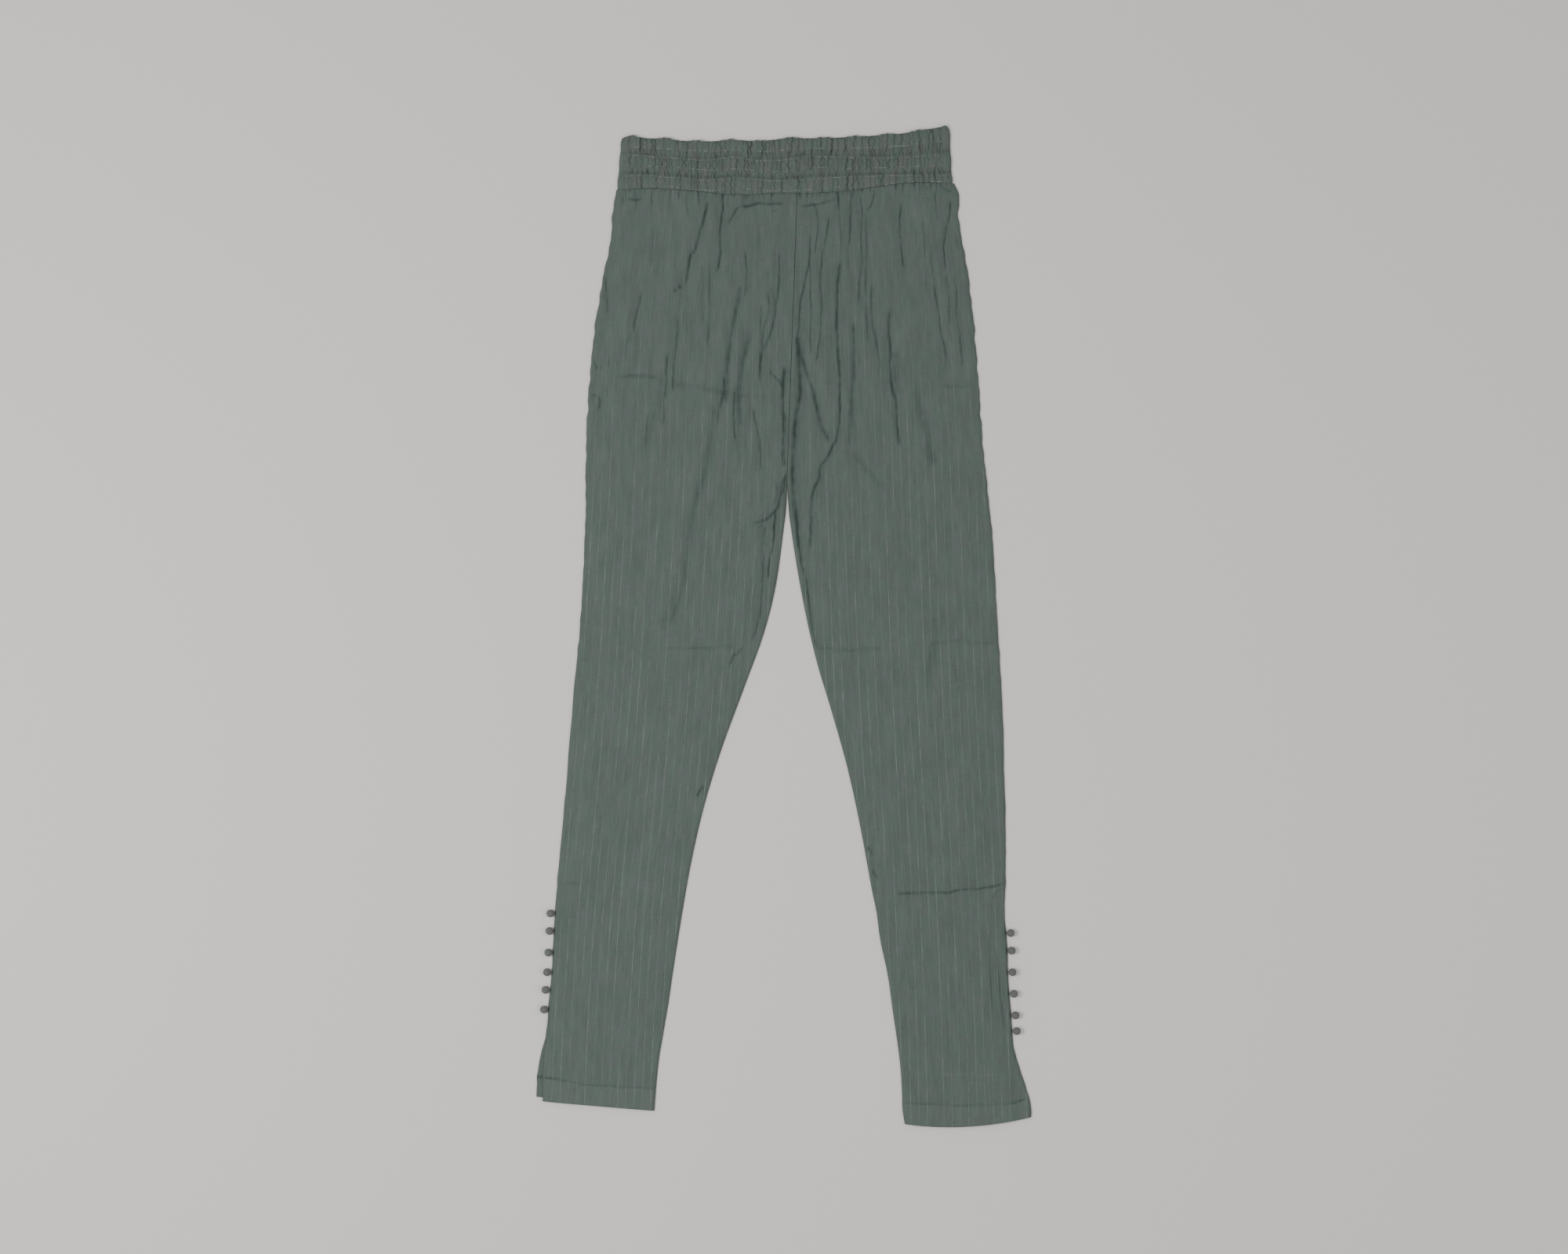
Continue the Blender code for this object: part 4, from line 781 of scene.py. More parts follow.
def front_relief(leg, x, y, edges):
    """Height of a front's upper side over the floor, and the painted shade of its creases there.

    edges are the panel's dense rows.
    """
    rows = np.argsort(edges.outer_y)
    outer_x = np.interp(y, edges.outer_y[rows], edges.outer_x[rows])
    rows = np.argsort(edges.inner_y)
    inner_x = np.interp(y, edges.inner_y[rows], edges.inner_x[rows])
    from_outer = np.maximum(leg.side * (outer_x - x), 0.0)
    from_inner = np.maximum(leg.side * (x - inner_x), 0.0)
    inner_turn = smooth((CROTCH_Y - y) / CROTCH_TURN)
    fade = smooth(from_outer / FOLD_REACH)
    fade = fade * blend(1.0, smooth(from_inner / FOLD_REACH), inner_turn)
    lift = EDGE_EASE + FULLNESS * (smooth(from_outer / FULLNESS_REACH)
                                   * smooth(from_inner / FULLNESS_REACH))
    folds = fade * fold_rise((*leg.folds, SEAM_PINCH), x, y)
    lift += FOLD_SHARE * folds
    lift = np.maximum(lift, 0.0)
    across = across_grain(leg, x, y)
    creases, shade = crease_relief(leg.creases, x, y)
    # Painted shade in the large folds' troughs, and painted light on their ridges
    shade -= TROUGH_SHADE * np.clip(folds / TROUGH_DEPTH, -1.0, 1.0)
    near_edge = smooth(from_outer / (FOLD_REACH / 3))
    near_edge = near_edge * blend(1.0, smooth(from_inner / (FOLD_REACH / 3)), inner_turn)
    dips = waist_dips(leg, x, y)
    lift += near_edge * (creases + long_waves(across, y)) - dips
    edge = np.minimum(from_outer, from_inner)
    pucker = np.exp(-(edge / PUCKER_REACH) ** 2)
    lift += PUCKER * pucker * np.sin(math.tau * y / PUCKER_LENGTH + 1.7 * np.sin(y / 0.023))
    step_y = line_at(leg.hem_stitches, x)
    lift += HEM_STEP * smooth(0.5 + (step_y - y) / STEP_BLEND)
    # Painted shade along the hem's stitches, and less of it over the hem's extra layer
    hem_line = HEM_LINE_SHADE + 0.5 * smooth((np.abs(x) - 0.222) / 0.014)
    shade += hem_line * np.exp(-((y - step_y) / HEM_LINE_WIDTH) ** 2)
    shade -= HEM_SHADE * smooth(0.5 + (step_y - y) / STEP_BLEND)
    if leg.slit_open:
        lift -= SLIT_DROP * (smooth(1 - from_outer / SLIT_DROP_WIDTH)
                             * smooth((SLIT_TOP_Y - y) / SLIT_DROP_LENGTH))
    height = np.maximum(FRONT_REST + CLOTH + lift, LOWEST_FRONT)
    # The painted shade, kept off the edges, with painted shade added in the gathers' dips
    return height, np.minimum(near_edge * shade + dips / FULL_DIP_SHADE, 1.0)


def rolled(height, angle, turn, wall, turned_width):
    """Roll a flat cloth's edge down and under it.

    angle is a right angle on top of the cloth, 0 at its very edge and below 0 under it. turn is 0
    where the cloth meets another in a flat seam and 1 where it turns down to the floor. Gives the
    distance in from the edge, the height, and the way along the cloth to where it is flat again.
    """
    start = blend(SEAM_ROLL, turned_width, turn)
    tuck = blend(SEAM_ROLL, TUCK_UNDER * turned_width, turn)
    base = blend(height - wall / 2, FOOT, turn)
    low = blend(height - wall, UNDER_Z, turn)
    over = angle >= 0
    distance = np.where(over, start, tuck) * (1 - np.cos(angle))
    rise = np.sin(angle) * np.where(over, height - base, base - low)
    way = np.where(over, np.hypot(start - distance, height - base - rise),
                   np.hypot(start, height - base) + np.hypot(distance, rise))
    return distance, base + rise, way


def finished_mesh(name, bm):
    """A mesh of what has been made in bm."""
    mesh = bpy.data.meshes.new(name)
    bm.to_mesh(mesh)
    bm.free()
    return mesh


def add_object(name, data):
    """Put an object in the scene."""
    item = bpy.data.objects.new(name, data)
    bpy.context.scene.collection.objects.link(item)
    return item


def read_array(data, name, count, kind=float):
    """Read one value of each item of a mesh's data."""
    values = np.empty(count, dtype=kind)
    data.foreach_get(name, values)
    return values


def cloth_mesh(name, columns, rows, place):
    """A cloth's mesh: a grid with each vertex put in its place.

    place takes each vertex's column and row as arrays, and gives its position, its place on the
    cloth's grain and its painted shade, which the "fold" attribute holds.
    """
    bm = bmesh.new()
    bmesh.ops.create_grid(bm, x_segments=columns, y_segments=rows, size=1.0)
    mesh = finished_mesh(name, bm)
    grid = read_array(mesh.vertices, "co", len(mesh.vertices) * 3).reshape(-1, 3)
    column, row = (np.rint((grid[:, k] + 1.0) / 2.0 * count).astype(int)
                   for k, count in enumerate((columns, rows)))
    position, grain, shade = place(column, row)
    mesh.vertices.foreach_set("co", position.ravel())
    corners = read_array(mesh.loops, "vertex_index", len(mesh.loops), np.int32)
    mesh.uv_layers.new(name="grain").uv.foreach_set("vector", grain[corners].ravel())
    # Painted shade, mostly in creases and dips, that darkens the cloth's colour
    mesh.attributes.new("fold", "FLOAT", "POINT").data.foreach_set("value", shade)
    mesh.update()
    return mesh


def add_piece(name, mesh, material, nodes=(), faces_up=None):
    """Put a finished mesh in the scene, riding on the part and standing for its solids."""
    if faces_up is not None:
        turned = sum(face.normal.z * face.area for face in mesh.polygons) > 0
        if turned is not faces_up:
            mesh.flip_normals()
    mesh.shade_smooth()
    mesh.materials.append(material)
    piece = add_object(name, mesh)
    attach(piece, "root")
    if nodes:
        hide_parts(*nodes)
    return piece


def add_cloth(node, mesh, material, faces_up, wall, rim=None):
    """Put a cloth in its solid's place, with its wall inwards from its shown side.

    rim rounds the sharp rim of a flat-cut cloth.
    """
    piece = add_piece(node + "_cloth", mesh, material, (node,), faces_up)
    wall_modifier = piece.modifiers.new("Wall", "SOLIDIFY")
    wall_modifier.thickness = wall
    wall_modifier.offset = -1.0
    wall_modifier.use_rim = True
    if rim:
        bevel = piece.modifiers.new("Rim", "BEVEL")
        bevel.width = rim
        bevel.segments = 2
        bevel.limit_method = "ANGLE"
        bevel.angle_limit = math.radians(50)
    return piece


def with_rolls(places):
    """Repeat the first and the last of some places for the points of a roll at each end.

    Also gives each point's angle in its roll, and its side: -1 in the first, 1 in the last.
    """
    turns = len(ROLL_ANGLES) - 1
    places = np.pad(places, turns, mode="edge")
    angle, side = np.full(len(places), math.pi / 2), np.zeros(len(places))
    angle[:turns + 1], angle[-turns - 1:] = ROLL_ANGLES, ROLL_ANGLES[::-1]
    side[:turns + 1], side[-turns - 1:] = -1.0, 1.0
    return places, angle, side


def lay_across(columns, width, turns, wall, turned_width, shape):
    """Lay a cloth's points across its rows, with both its edges rolled as far as each one turns.

    columns are each point's share of the way across, its angle and its side. shape takes the
    distance from the first edge, and gives x, y, the height and the shade there. Gives those again,
    the way across the flat cloth, and how far each point in a roll turns down.
    """
    share, angle, side = columns
    in_roll, first = angle < math.pi / 2, side < 0
    flat_from = blend(SEAM_ROLL, turned_width, turns[0])
    flat_to = width - blend(SEAM_ROLL, turned_width, turns[1])
    middle = blend(flat_from, flat_to, share)
    turn = np.where(first, *turns)
    distance, _, _ = rolled(0.0, angle, turn, wall, turned_width)
    distance = np.where(in_roll, np.where(first, distance, width - distance), middle)
    x, y, height, shade = shape(distance)
    _, z, way = rolled(height, angle, turn, wall, turned_width)
    flat = np.where(in_roll, np.where(first, flat_from - way, flat_to + way), middle)
    return x, y, height, np.where(in_roll, z, height), shade, flat, np.where(in_roll, turn, 0.0)


def make_front(leg, cloth, material):
    """The shown cloth of a front: its folds, creases, seam edges and hem."""
    edges = dense_rows(leg)
    stations, row_angle, row_side = with_rolls(row_stations(leg.sections, leg.pitch))
    share, angle, side = with_rolls(np.arange(cloth.columns + 1) / cloth.columns)
    share = share + MIDDLE_CROWDING * share * (1 - share)
    rows = panel_rows(leg, stations)
    cosine, sine = np.cos(row_angle), np.sin(row_angle)
    shift = row_side * END_ROLL * (1 - cosine)
    end_way = np.where(row_angle >= 0, END_ROLL * cosine + HEM_WALL * (1 - sine),
                       END_ROLL * (2 - cosine) + 2 * HEM_WALL)
    grain_shift = row_side * (END_ROLL - end_way)
    widths = np.abs(rows.inner_x - rows.outer_x)

    def place(column, row):
        width = widths[row]

        def shape(distance):
            x, y = row_place(leg, rows, row, distance / width)
            return x, y, *front_relief(leg, x, y, edges)

        x, y, height, z, shade, flat, turn = lay_across(
            (share[column], angle[column], side[column]), width,
            (rows.outer_turn[row], rows.inner_turn[row]), CLOTH, EDGE_TURN, shape)
        under = (1 - sine[row]) / 2
        z = np.maximum(z - CLOTH * under, blend(height - CLOTH, UNDER_Z, turn) + SHELL * under)
        grain_x, grain_y = row_place(leg, rows, row, flat / width)
        grain_y = grain_y + grain_shift[row]
        grain = np.stack([across_grain(leg, grain_x, grain_y), grain_y], axis=1)
        return (np.stack([x, y + shift[row], z], axis=1), grain,
                np.where(angle[column] < math.pi / 2, 0.0, shade))

    node = leg.name + "_front"
    mesh = cloth_mesh(node + "_cloth", len(share) - 1, len(stations) - 1, place)
    return add_cloth(node, mesh, material, True, SHELL)


def make_back(leg, cloth, material):
    """The shown cloth of a back, which lies on the surface, with the right one's slit flap."""
    rows = panel_rows(leg, row_stations(leg.sections, BACK_PITCH))
    widths = np.abs(rows.inner_x - rows.outer_x)
    columns = cloth.back_columns

    def place(column, row):
        width = widths[row]
        reach = np.zeros(len(row))
        if leg.slit_open:
            reach = line_at(BACK_FLAP, rows.outer_y[row])
        start = BACK_TUCK * rows.outer_turn[row] - reach
        end = width - BACK_TUCK * rows.inner_turn[row]
        across = column / columns
        x, y = row_place(leg, rows, row, blend(start, end, across) / width)
        if leg.slit_open:
            corner = smooth((FLAP_CORNER_Y - y) / FLAP_CORNER_BEND) * smooth(1 - 2 * across)
            y = y + corner * FLAP_HEM_LIFT
        edge = np.minimum(across, 1 - across) * (end - start)
        ends = np.minimum(rows.outer_y[0] - y, y - rows.outer_y[-1])
        fade = smooth(edge / BACK_FADE) * smooth(ends / BACK_FADE)
        relief, shade = crease_relief(BACK_CREASES, x, y)
        waves = 0.5 * long_waves(x, y + 0.04)
        z = fade * np.clip(waves - relief - BACK_EASE, 0.0, BACK_LIFT)
        grain = np.stack([across_grain(leg, x, y), y], axis=1)
        step_y = line_at(leg.hem_stitches, x)
        # Painted shade along the hem's stitches, and half the painted shade of the back's creases
        hem_line = 0.8 * np.exp(-((y - step_y) / 0.0013) ** 2)
        z += HEM_GROOVE * np.exp(-((y - step_y) / 0.003) ** 2) * smooth(edge / 0.004)
        return np.stack([x, y, z], axis=1), grain, np.minimum(0.5 * fade * shade + hem_line, 1.0)

    node = leg.name + "_back"
    mesh = cloth_mesh(node + "_cloth", columns, len(widths) - 1, place)
    return add_cloth(node, mesh, material, False, BACK_SHELL, BACK_RIM)


def band_y(x, down):
    """y at a fraction of the way down the waistband, between its top edge, stitches and seam."""
    low = waist_seam(x) + SHOWN_GAP / 2
    levels = [line_at(points, x) for points in (BAND_TOP, *STITCH_ROWS.values())]
    levels[-1] = np.maximum(levels[-1], low + LAST_STITCH_CLEAR)
    levels.append(low)
    downs = [0.0, *STITCH_ROWS, 1.0]
    y = levels[0]
    for k in range(len(downs) - 1):
        share = (down - downs[k]) / (downs[k + 1] - downs[k])
        y = np.where(share > 0, blend(levels[k], levels[k + 1], np.minimum(share, 1.0)), y)
    return y


def band_pleats():
    """The creases across the waistband: its deep gathers, and finer ones in each channel."""
    rng = np.random.default_rng(PLEAT_SEED)
    pleats = [Pleat(gather.top_x, gather.low_x, gather.depth * GATHER_SHARE, 0.0008, -0.2, 1.2)
              for gather in GATHERS]
    for channel in CHANNELS:
        x = BAND_SIDES_TOP[0] + 0.003
        while x < BAND_SIDES_TOP[1] - 0.002:
            lean = rng.normal(0.0, channel.lean) / (channel.last - channel.first)
            middle = (max(channel.first, 0.0) + min(channel.last, 1.0)) / 2
            pleats.append(Pleat(x - lean * middle, x + lean * (1 - middle),
                                channel.depth * rng.uniform(0.25, 1.0) ** 1.5,
                                rng.uniform(0.0004, 0.0008), channel.first, channel.last))
            x += channel.pitch * rng.uniform(0.5, 1.6)
    return pleats


def band_swell(down):
    """Rise of the waistband's channels at a fraction of the way down it."""
    levels, rises = zip(*BAND_ROWS)
    return table_curve(rises, np.interp(down, levels, np.arange(len(levels)))) * MM


def band_relief(x, down, pleats):
    """Height of the waistband's front over its wall at each place, and its painted shade there."""
    rise = band_swell(down) - SEAM_DROP * np.exp(-((1 - down) / 0.06) ** 2)
    # Painted shade in the valleys between channels, stronger in some places than others
    uneven = 0.26 + 0.16 * np.sin(x / 0.0083) * np.sin(x / 0.0231 + 1.0)
    shade = uneven * sum(np.exp(-((down - place) / width) ** 2) for place, width in VALLEYS)
    for pleat in pleats:
        line = blend(pleat.top_x, pleat.low_x, down)
        near = np.flatnonzero(np.abs(x - line) < 5 * pleat.width)
        level = down[near]
        fade = smooth((level - pleat.first) / PLEAT_TAPER)
        fade *= smooth((pleat.last - level) / PLEAT_TAPER)
        wobble = PLEAT_WOBBLE * (np.sin(level * 17 + pleat.top_x * 900)
                                 + np.sin(level * 41 + pleat.low_x * 2300))
        offset = (x[near] - line[near] - wobble) / pleat.width
        trough = fade * np.exp(-np.abs(offset) ** 1.6)
        rise[near] -= pleat.depth * trough
        rise[near] += PLEAT_LIP * pleat.depth * fade * np.exp(-(np.abs(offset) - 2.2) ** 2)
        # Painted shade in the pleat's trough
        shade[near] += PLEAT_SHADE * trough * pleat.depth / FULL_DIP_SHADE
    for level in STITCH_ROWS:
        rise -= STITCH_GROOVE * np.exp(-((down - level) / GROOVE_WIDTH) ** 2)
    return rise, np.minimum(shade, 1.0)


def band_sides(down, inwards):
    """x of the waistband's two sides at a fraction of the way down it, drawn in a little."""
    right, left = (blend(BAND_SIDES_TOP[k], BAND_SIDES_LOW[k], down) for k in (0, 1))
    return right + inwards, left - inwards


def make_band_front(cloth, material):
    """The waistband's front run: three padded channels, gathered unevenly across."""
    share, angle, side = with_rolls(np.arange(cloth.band_columns + 1) / cloth.band_columns)
    downs, row_angle, row_side = with_rolls(np.linspace(0.0, 1.0, cloth.band_rows + 1))
    pleats = band_pleats()

    def place(column, row):
        down, end = downs[row], row_side[row]
        side_x, far_x = band_sides(down, -SIDE_BULGE * (band_swell(down) - BULGE_START))
        cosine = np.where(end == 0, 0.0, np.cos(row_angle[row]))

        def shape(distance):
            x = side_x + distance
            y = band_y(x, down)
            pressed = TOP_ROLL * np.clip(1 - (line_at(BAND_TOP, x) - y) / TOP_PRESS, 0.0, 1.0)
            roll = np.where(end > 0, -END_ROLL, pressed) * (1 - cosine)
            rise, shade = band_relief(x, down, pleats)
            ruffle = np.where(end < 0, 1.0, smooth(1 - down / 0.10)) * TOP_RUFFLE
            ruffle *= (np.abs(np.sin(x / 0.0023 + 1.9 * np.sin(x / 0.0170))) - 0.6
                       + 0.7 * np.sin(x / 0.0051))
            return x, y + ruffle - roll, BAND_REST + BAND_CLOTH + rise, shade

        x, y, _, z, shade, flat, _ = lay_across(
            (share[column], angle[column], side[column]), far_x - side_x, (1.0, 1.0), BAND_CLOTH,
            BAND_TURN, shape)
        under = (1 - np.sin(row_angle[row])) / 2
        z = np.maximum(z - BAND_CLOTH * under, UNDER_Z + BAND_SHELL * under)
        grain = np.stack([(side_x + flat) * cloth.gathering, y], axis=1)
        return np.stack([x, y, z], axis=1), grain, shade

    mesh = cloth_mesh("waistband_front_cloth", len(share) - 1, len(downs) - 1, place)
    return add_cloth("waistband_front", mesh, material, True, BAND_SHELL)


def band_back_height(rise):
    """How far the back run's channels lift its underside off the surface."""
    return np.clip(0.55 * (0.0009 - rise), 0.0, 0.0008)


def make_band_back(cloth, material):
    """The waistband's back run, with the same channels, flat where it rests."""
    columns, rows = cloth.band_columns * 2 // 3, cloth.band_rows // 2
    pleats = band_pleats()

    def place(column, row):
        down = row / rows
        side_x, far_x = band_sides(down, BAND_TUCK)
        x = blend(side_x, far_x, column / columns)
        y = band_y(x, down)
        rise, shade = band_relief(-x, down, pleats)
        fade = smooth(np.minimum(x - side_x, far_x - x) / 0.004)
        fade = fade * smooth(np.minimum(down, 1 - down) / 0.08)
        grain = np.stack([x * cloth.gathering, y], axis=1)
        return np.stack([x, y, fade * band_back_height(rise)], axis=1), grain, shade * fade

    mesh = cloth_mesh("waistband_back_cloth", columns, rows, place)
    return add_cloth("waistband_back", mesh, material, False, BAND_BACK_SHELL,
                     BAND_RIM)


def stitch_mesh(name, stitches, sewing):
    """Short rounded lengths of thread, each with a middle, a direction and a length."""
    bm = bmesh.new()
    bmesh.ops.create_uvsphere(bm, u_segments=6, v_segments=4, radius=1.0)
    one = bpy.data.meshes.new("stitch")
    bm.to_mesh(one)
    bm.clear()
    for middle, direction, length in stitches:
        turn = Vector((1, 0, 0)).rotation_difference(direction).to_matrix().to_4x4()
        size = Matrix.Diagonal((length / 2, sewing.thread, sewing.thread * 0.8, 1.0))
        place = Matrix.Translation(middle) @ turn @ size
        one.transform(place)
        bm.from_mesh(one)
        one.transform(place.inverted())
    bpy.data.meshes.remove(one)
    return finished_mesh(name, bm)


def stitch_places(line_x, line_y, heights, sewing, rng):
    """Uneven stitches along a line: middle, direction and length of each."""
    way = np.concatenate([[0.0], np.cumsum(np.hypot(np.diff(line_x), np.diff(line_y)))])
    stitches = []
    at = rng.uniform(0.0, sewing.pitch)
    while at < way[-1] - sewing.pitch:
        length = sewing.length * rng.uniform(0.4, 1.2)
        ends = [Vector([np.interp(at + shift, way, line)
                        for line in (line_x, line_y, heights)]) for shift in (0.0, length)]
        if rng.random() > sewing.hidden:
            stitches.append(((ends[0] + ends[1]) / 2, (ends[1] - ends[0]).normalized(), length))
        at += sewing.pitch * rng.uniform(0.85, 1.15)
    return stitches


def add_stitches(cloth_name, stitches, sewing, material):
    """Put the stitches that sew a cloth in the scene."""
    name = cloth_name + "_stitches"
    return add_piece(name, stitch_mesh(name, stitches, sewing), material)


def make_band_stitches(sewing, material, front):
    """The five rows of stitches round the waistband, on its front or on its back."""
    rng = np.random.default_rng(STITCH_SEED)
    pleats = band_pleats()
    stitches = []
    for level in STITCH_ROWS:
        x = np.linspace(BAND_SIDES_LOW[0] + BAND_CLEAR, BAND_SIDES_LOW[1] - BAND_CLEAR, 900)
        down = np.full(len(x), level)
        y = band_y(x, down) + 0.0003 * np.sin(x / 0.0031) * np.sin(x / 0.0097)
        rise, _ = band_relief(x if front else -x, down, pleats)
        z = BAND_REST + BAND_CLOTH + rise + sewing.thread * 0.45
        if not front:
            z = band_back_height(rise) + 0.00004
        stitches += stitch_places(x, y, z, sewing, rng)
    return add_stitches("waistband_" + ("front" if front else "back"), stitches, sewing, material)


def make_hem_stitches(leg, sewing, material, front):
    """The stitches that hold up a front's or a back's hem."""
    rng = np.random.default_rng(STITCH_SEED + leg.side)
    ends = sorted((leg.sections[-1].outer_x, leg.sections[-1].inner_x))
    x = np.linspace(ends[0] + HEM_CLEAR, ends[1] - HEM_CLEAR, 300)
    y = line_at(leg.hem_stitches, x)
    z = np.full(len(x), sewing.thread)
    if front:
        y = y - 0.0011
        z = front_relief(leg, x, y, dense_rows(leg))[0] + sewing.thread * 0.35
    stitches = stitch_places(x, y, z, sewing, rng)
    return add_stitches(f"{leg.name}_{'front' if front else 'back'}_hem", stitches, sewing,
                        material)


def button_mesh(buttons):
    """A ball covered in cloth that is pleated towards its wound shank, with the shank downwards."""
    neck = math.asin(SHANK_RADIUS / BALL_RADIUS)
    angles = [k / BALL_ARCS * (math.pi - neck) for k in range(BALL_ARCS + 1)]
    profile = [(BALL_RADIUS * math.sin(angle), BALL_RADIUS * math.cos(angle)) for angle in angles]
    shank_top = profile[-1][1]
    shank_end = -BALL_RADIUS - SHANK_LENGTH
    for k in range(1, SHANK_TURNS * 2 + 1):
        bulge = 1.0 if k % 2 else 0.8
        z = shank_top + (shank_end - shank_top) * k / (SHANK_TURNS * 2)
        profile.append((SHANK_RADIUS * bulge, z))
    profile.append((0.0, shank_end))
    bm = bmesh.new()
    vertices = [bm.verts.new((x, 0.0, z)) for x, z in profile]
    edges = [bm.edges.new(pair) for pair in zip(vertices, vertices[1:])]
    bmesh.ops.spin(bm, geom=vertices + edges, axis=(0, 0, 1), cent=(0, 0, 0),
                   angle=math.tau, steps=buttons.steps, use_merge=True)
    bmesh.ops.remove_doubles(bm, verts=list(bm.verts), dist=0.00001)
    for vertex in bm.verts:
        if vertex.co.z > shank_top - 0.0001:
            angle = math.atan2(vertex.co.y, vertex.co.x)
            low = 0.5 - 0.5 * vertex.co.z / BALL_RADIUS
            pleat = math.cos(buttons.pleats * angle + 0.6 * math.sin(3 * angle))
            vertex.co *= 1.0 - buttons.pleat_depth * low * (1 + pleat) / 2
    bmesh.ops.recalc_face_normals(bm, faces=list(bm.faces))
    return finished_mesh("ball_button", bm)


def make_button(leg, number, buttons, material):
    """One ball button, in its solid's place, with its shank against the seam edge."""
    node = f"{leg.name}_button_{number}"
    low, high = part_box(node)
    centre = (low + high) / 2
    centre.x = high.x - BALL_RADIUS if leg.side > 0 else low.x + BALL_RADIUS
    centre.z = BALL_RADIUS
    drop = BALL_RADIUS - CLOTH
    towards_seam = Vector((-leg.side * (BALL_STAND_OFF - SEAM_GAP), 0.0, -drop)).normalized()
    turn = Vector((0, 0, -1)).rotation_difference(towards_seam).to_matrix().to_4x4()
    spin = Matrix.Rotation(1.3 * number + leg.side, 4, "Z")
    mesh = button_mesh(buttons)
    mesh.transform(Matrix.Translation(centre) @ turn @ spin)
    return add_piece(node + "_cloth", mesh, material, (node,))


def fill(node, inputs):
    """Give a node's inputs, named or in their order, a value, a socket, or a node's first output."""
    for key, value in (inputs if isinstance(inputs, dict) else dict(enumerate(inputs))).items():
        if isinstance(value, bpy.types.Node):
            value = value.outputs[0]
        if isinstance(value, bpy.types.NodeSocket):
            node.id_data.links.new(value, node.inputs[key])
        else:
            node.inputs[key].default_value = value


def add_node(tree, kind, inputs=(), **settings):
    """Add a shader node with its inputs and settings."""
    node = tree.nodes.new("ShaderNode" + kind)
    for name, value in settings.items():
        setattr(node, name, value)
    fill(node, inputs)
    return node


def new_material(name, colour, roughness, specular, sheen=0.0):
    """A material, its own add_node and its shader, with what is the same all over it."""
    material = bpy.data.materials.new(name)
    material.use_nodes = True
    shader = material.node_tree.nodes["Principled BSDF"]
    shader.inputs["Base Color"].default_value = (*colour, 1.0)
    shader.inputs["Roughness"].default_value = roughness
    shader.inputs["IOR"].default_value = 1.5
    shader.inputs["Specular IOR Level"].default_value = specular
    shader.inputs["Sheen Weight"].default_value = sheen
    shader.inputs["Sheen Roughness"].default_value = 0.5
    return material, partial(add_node, material.node_tree), shader


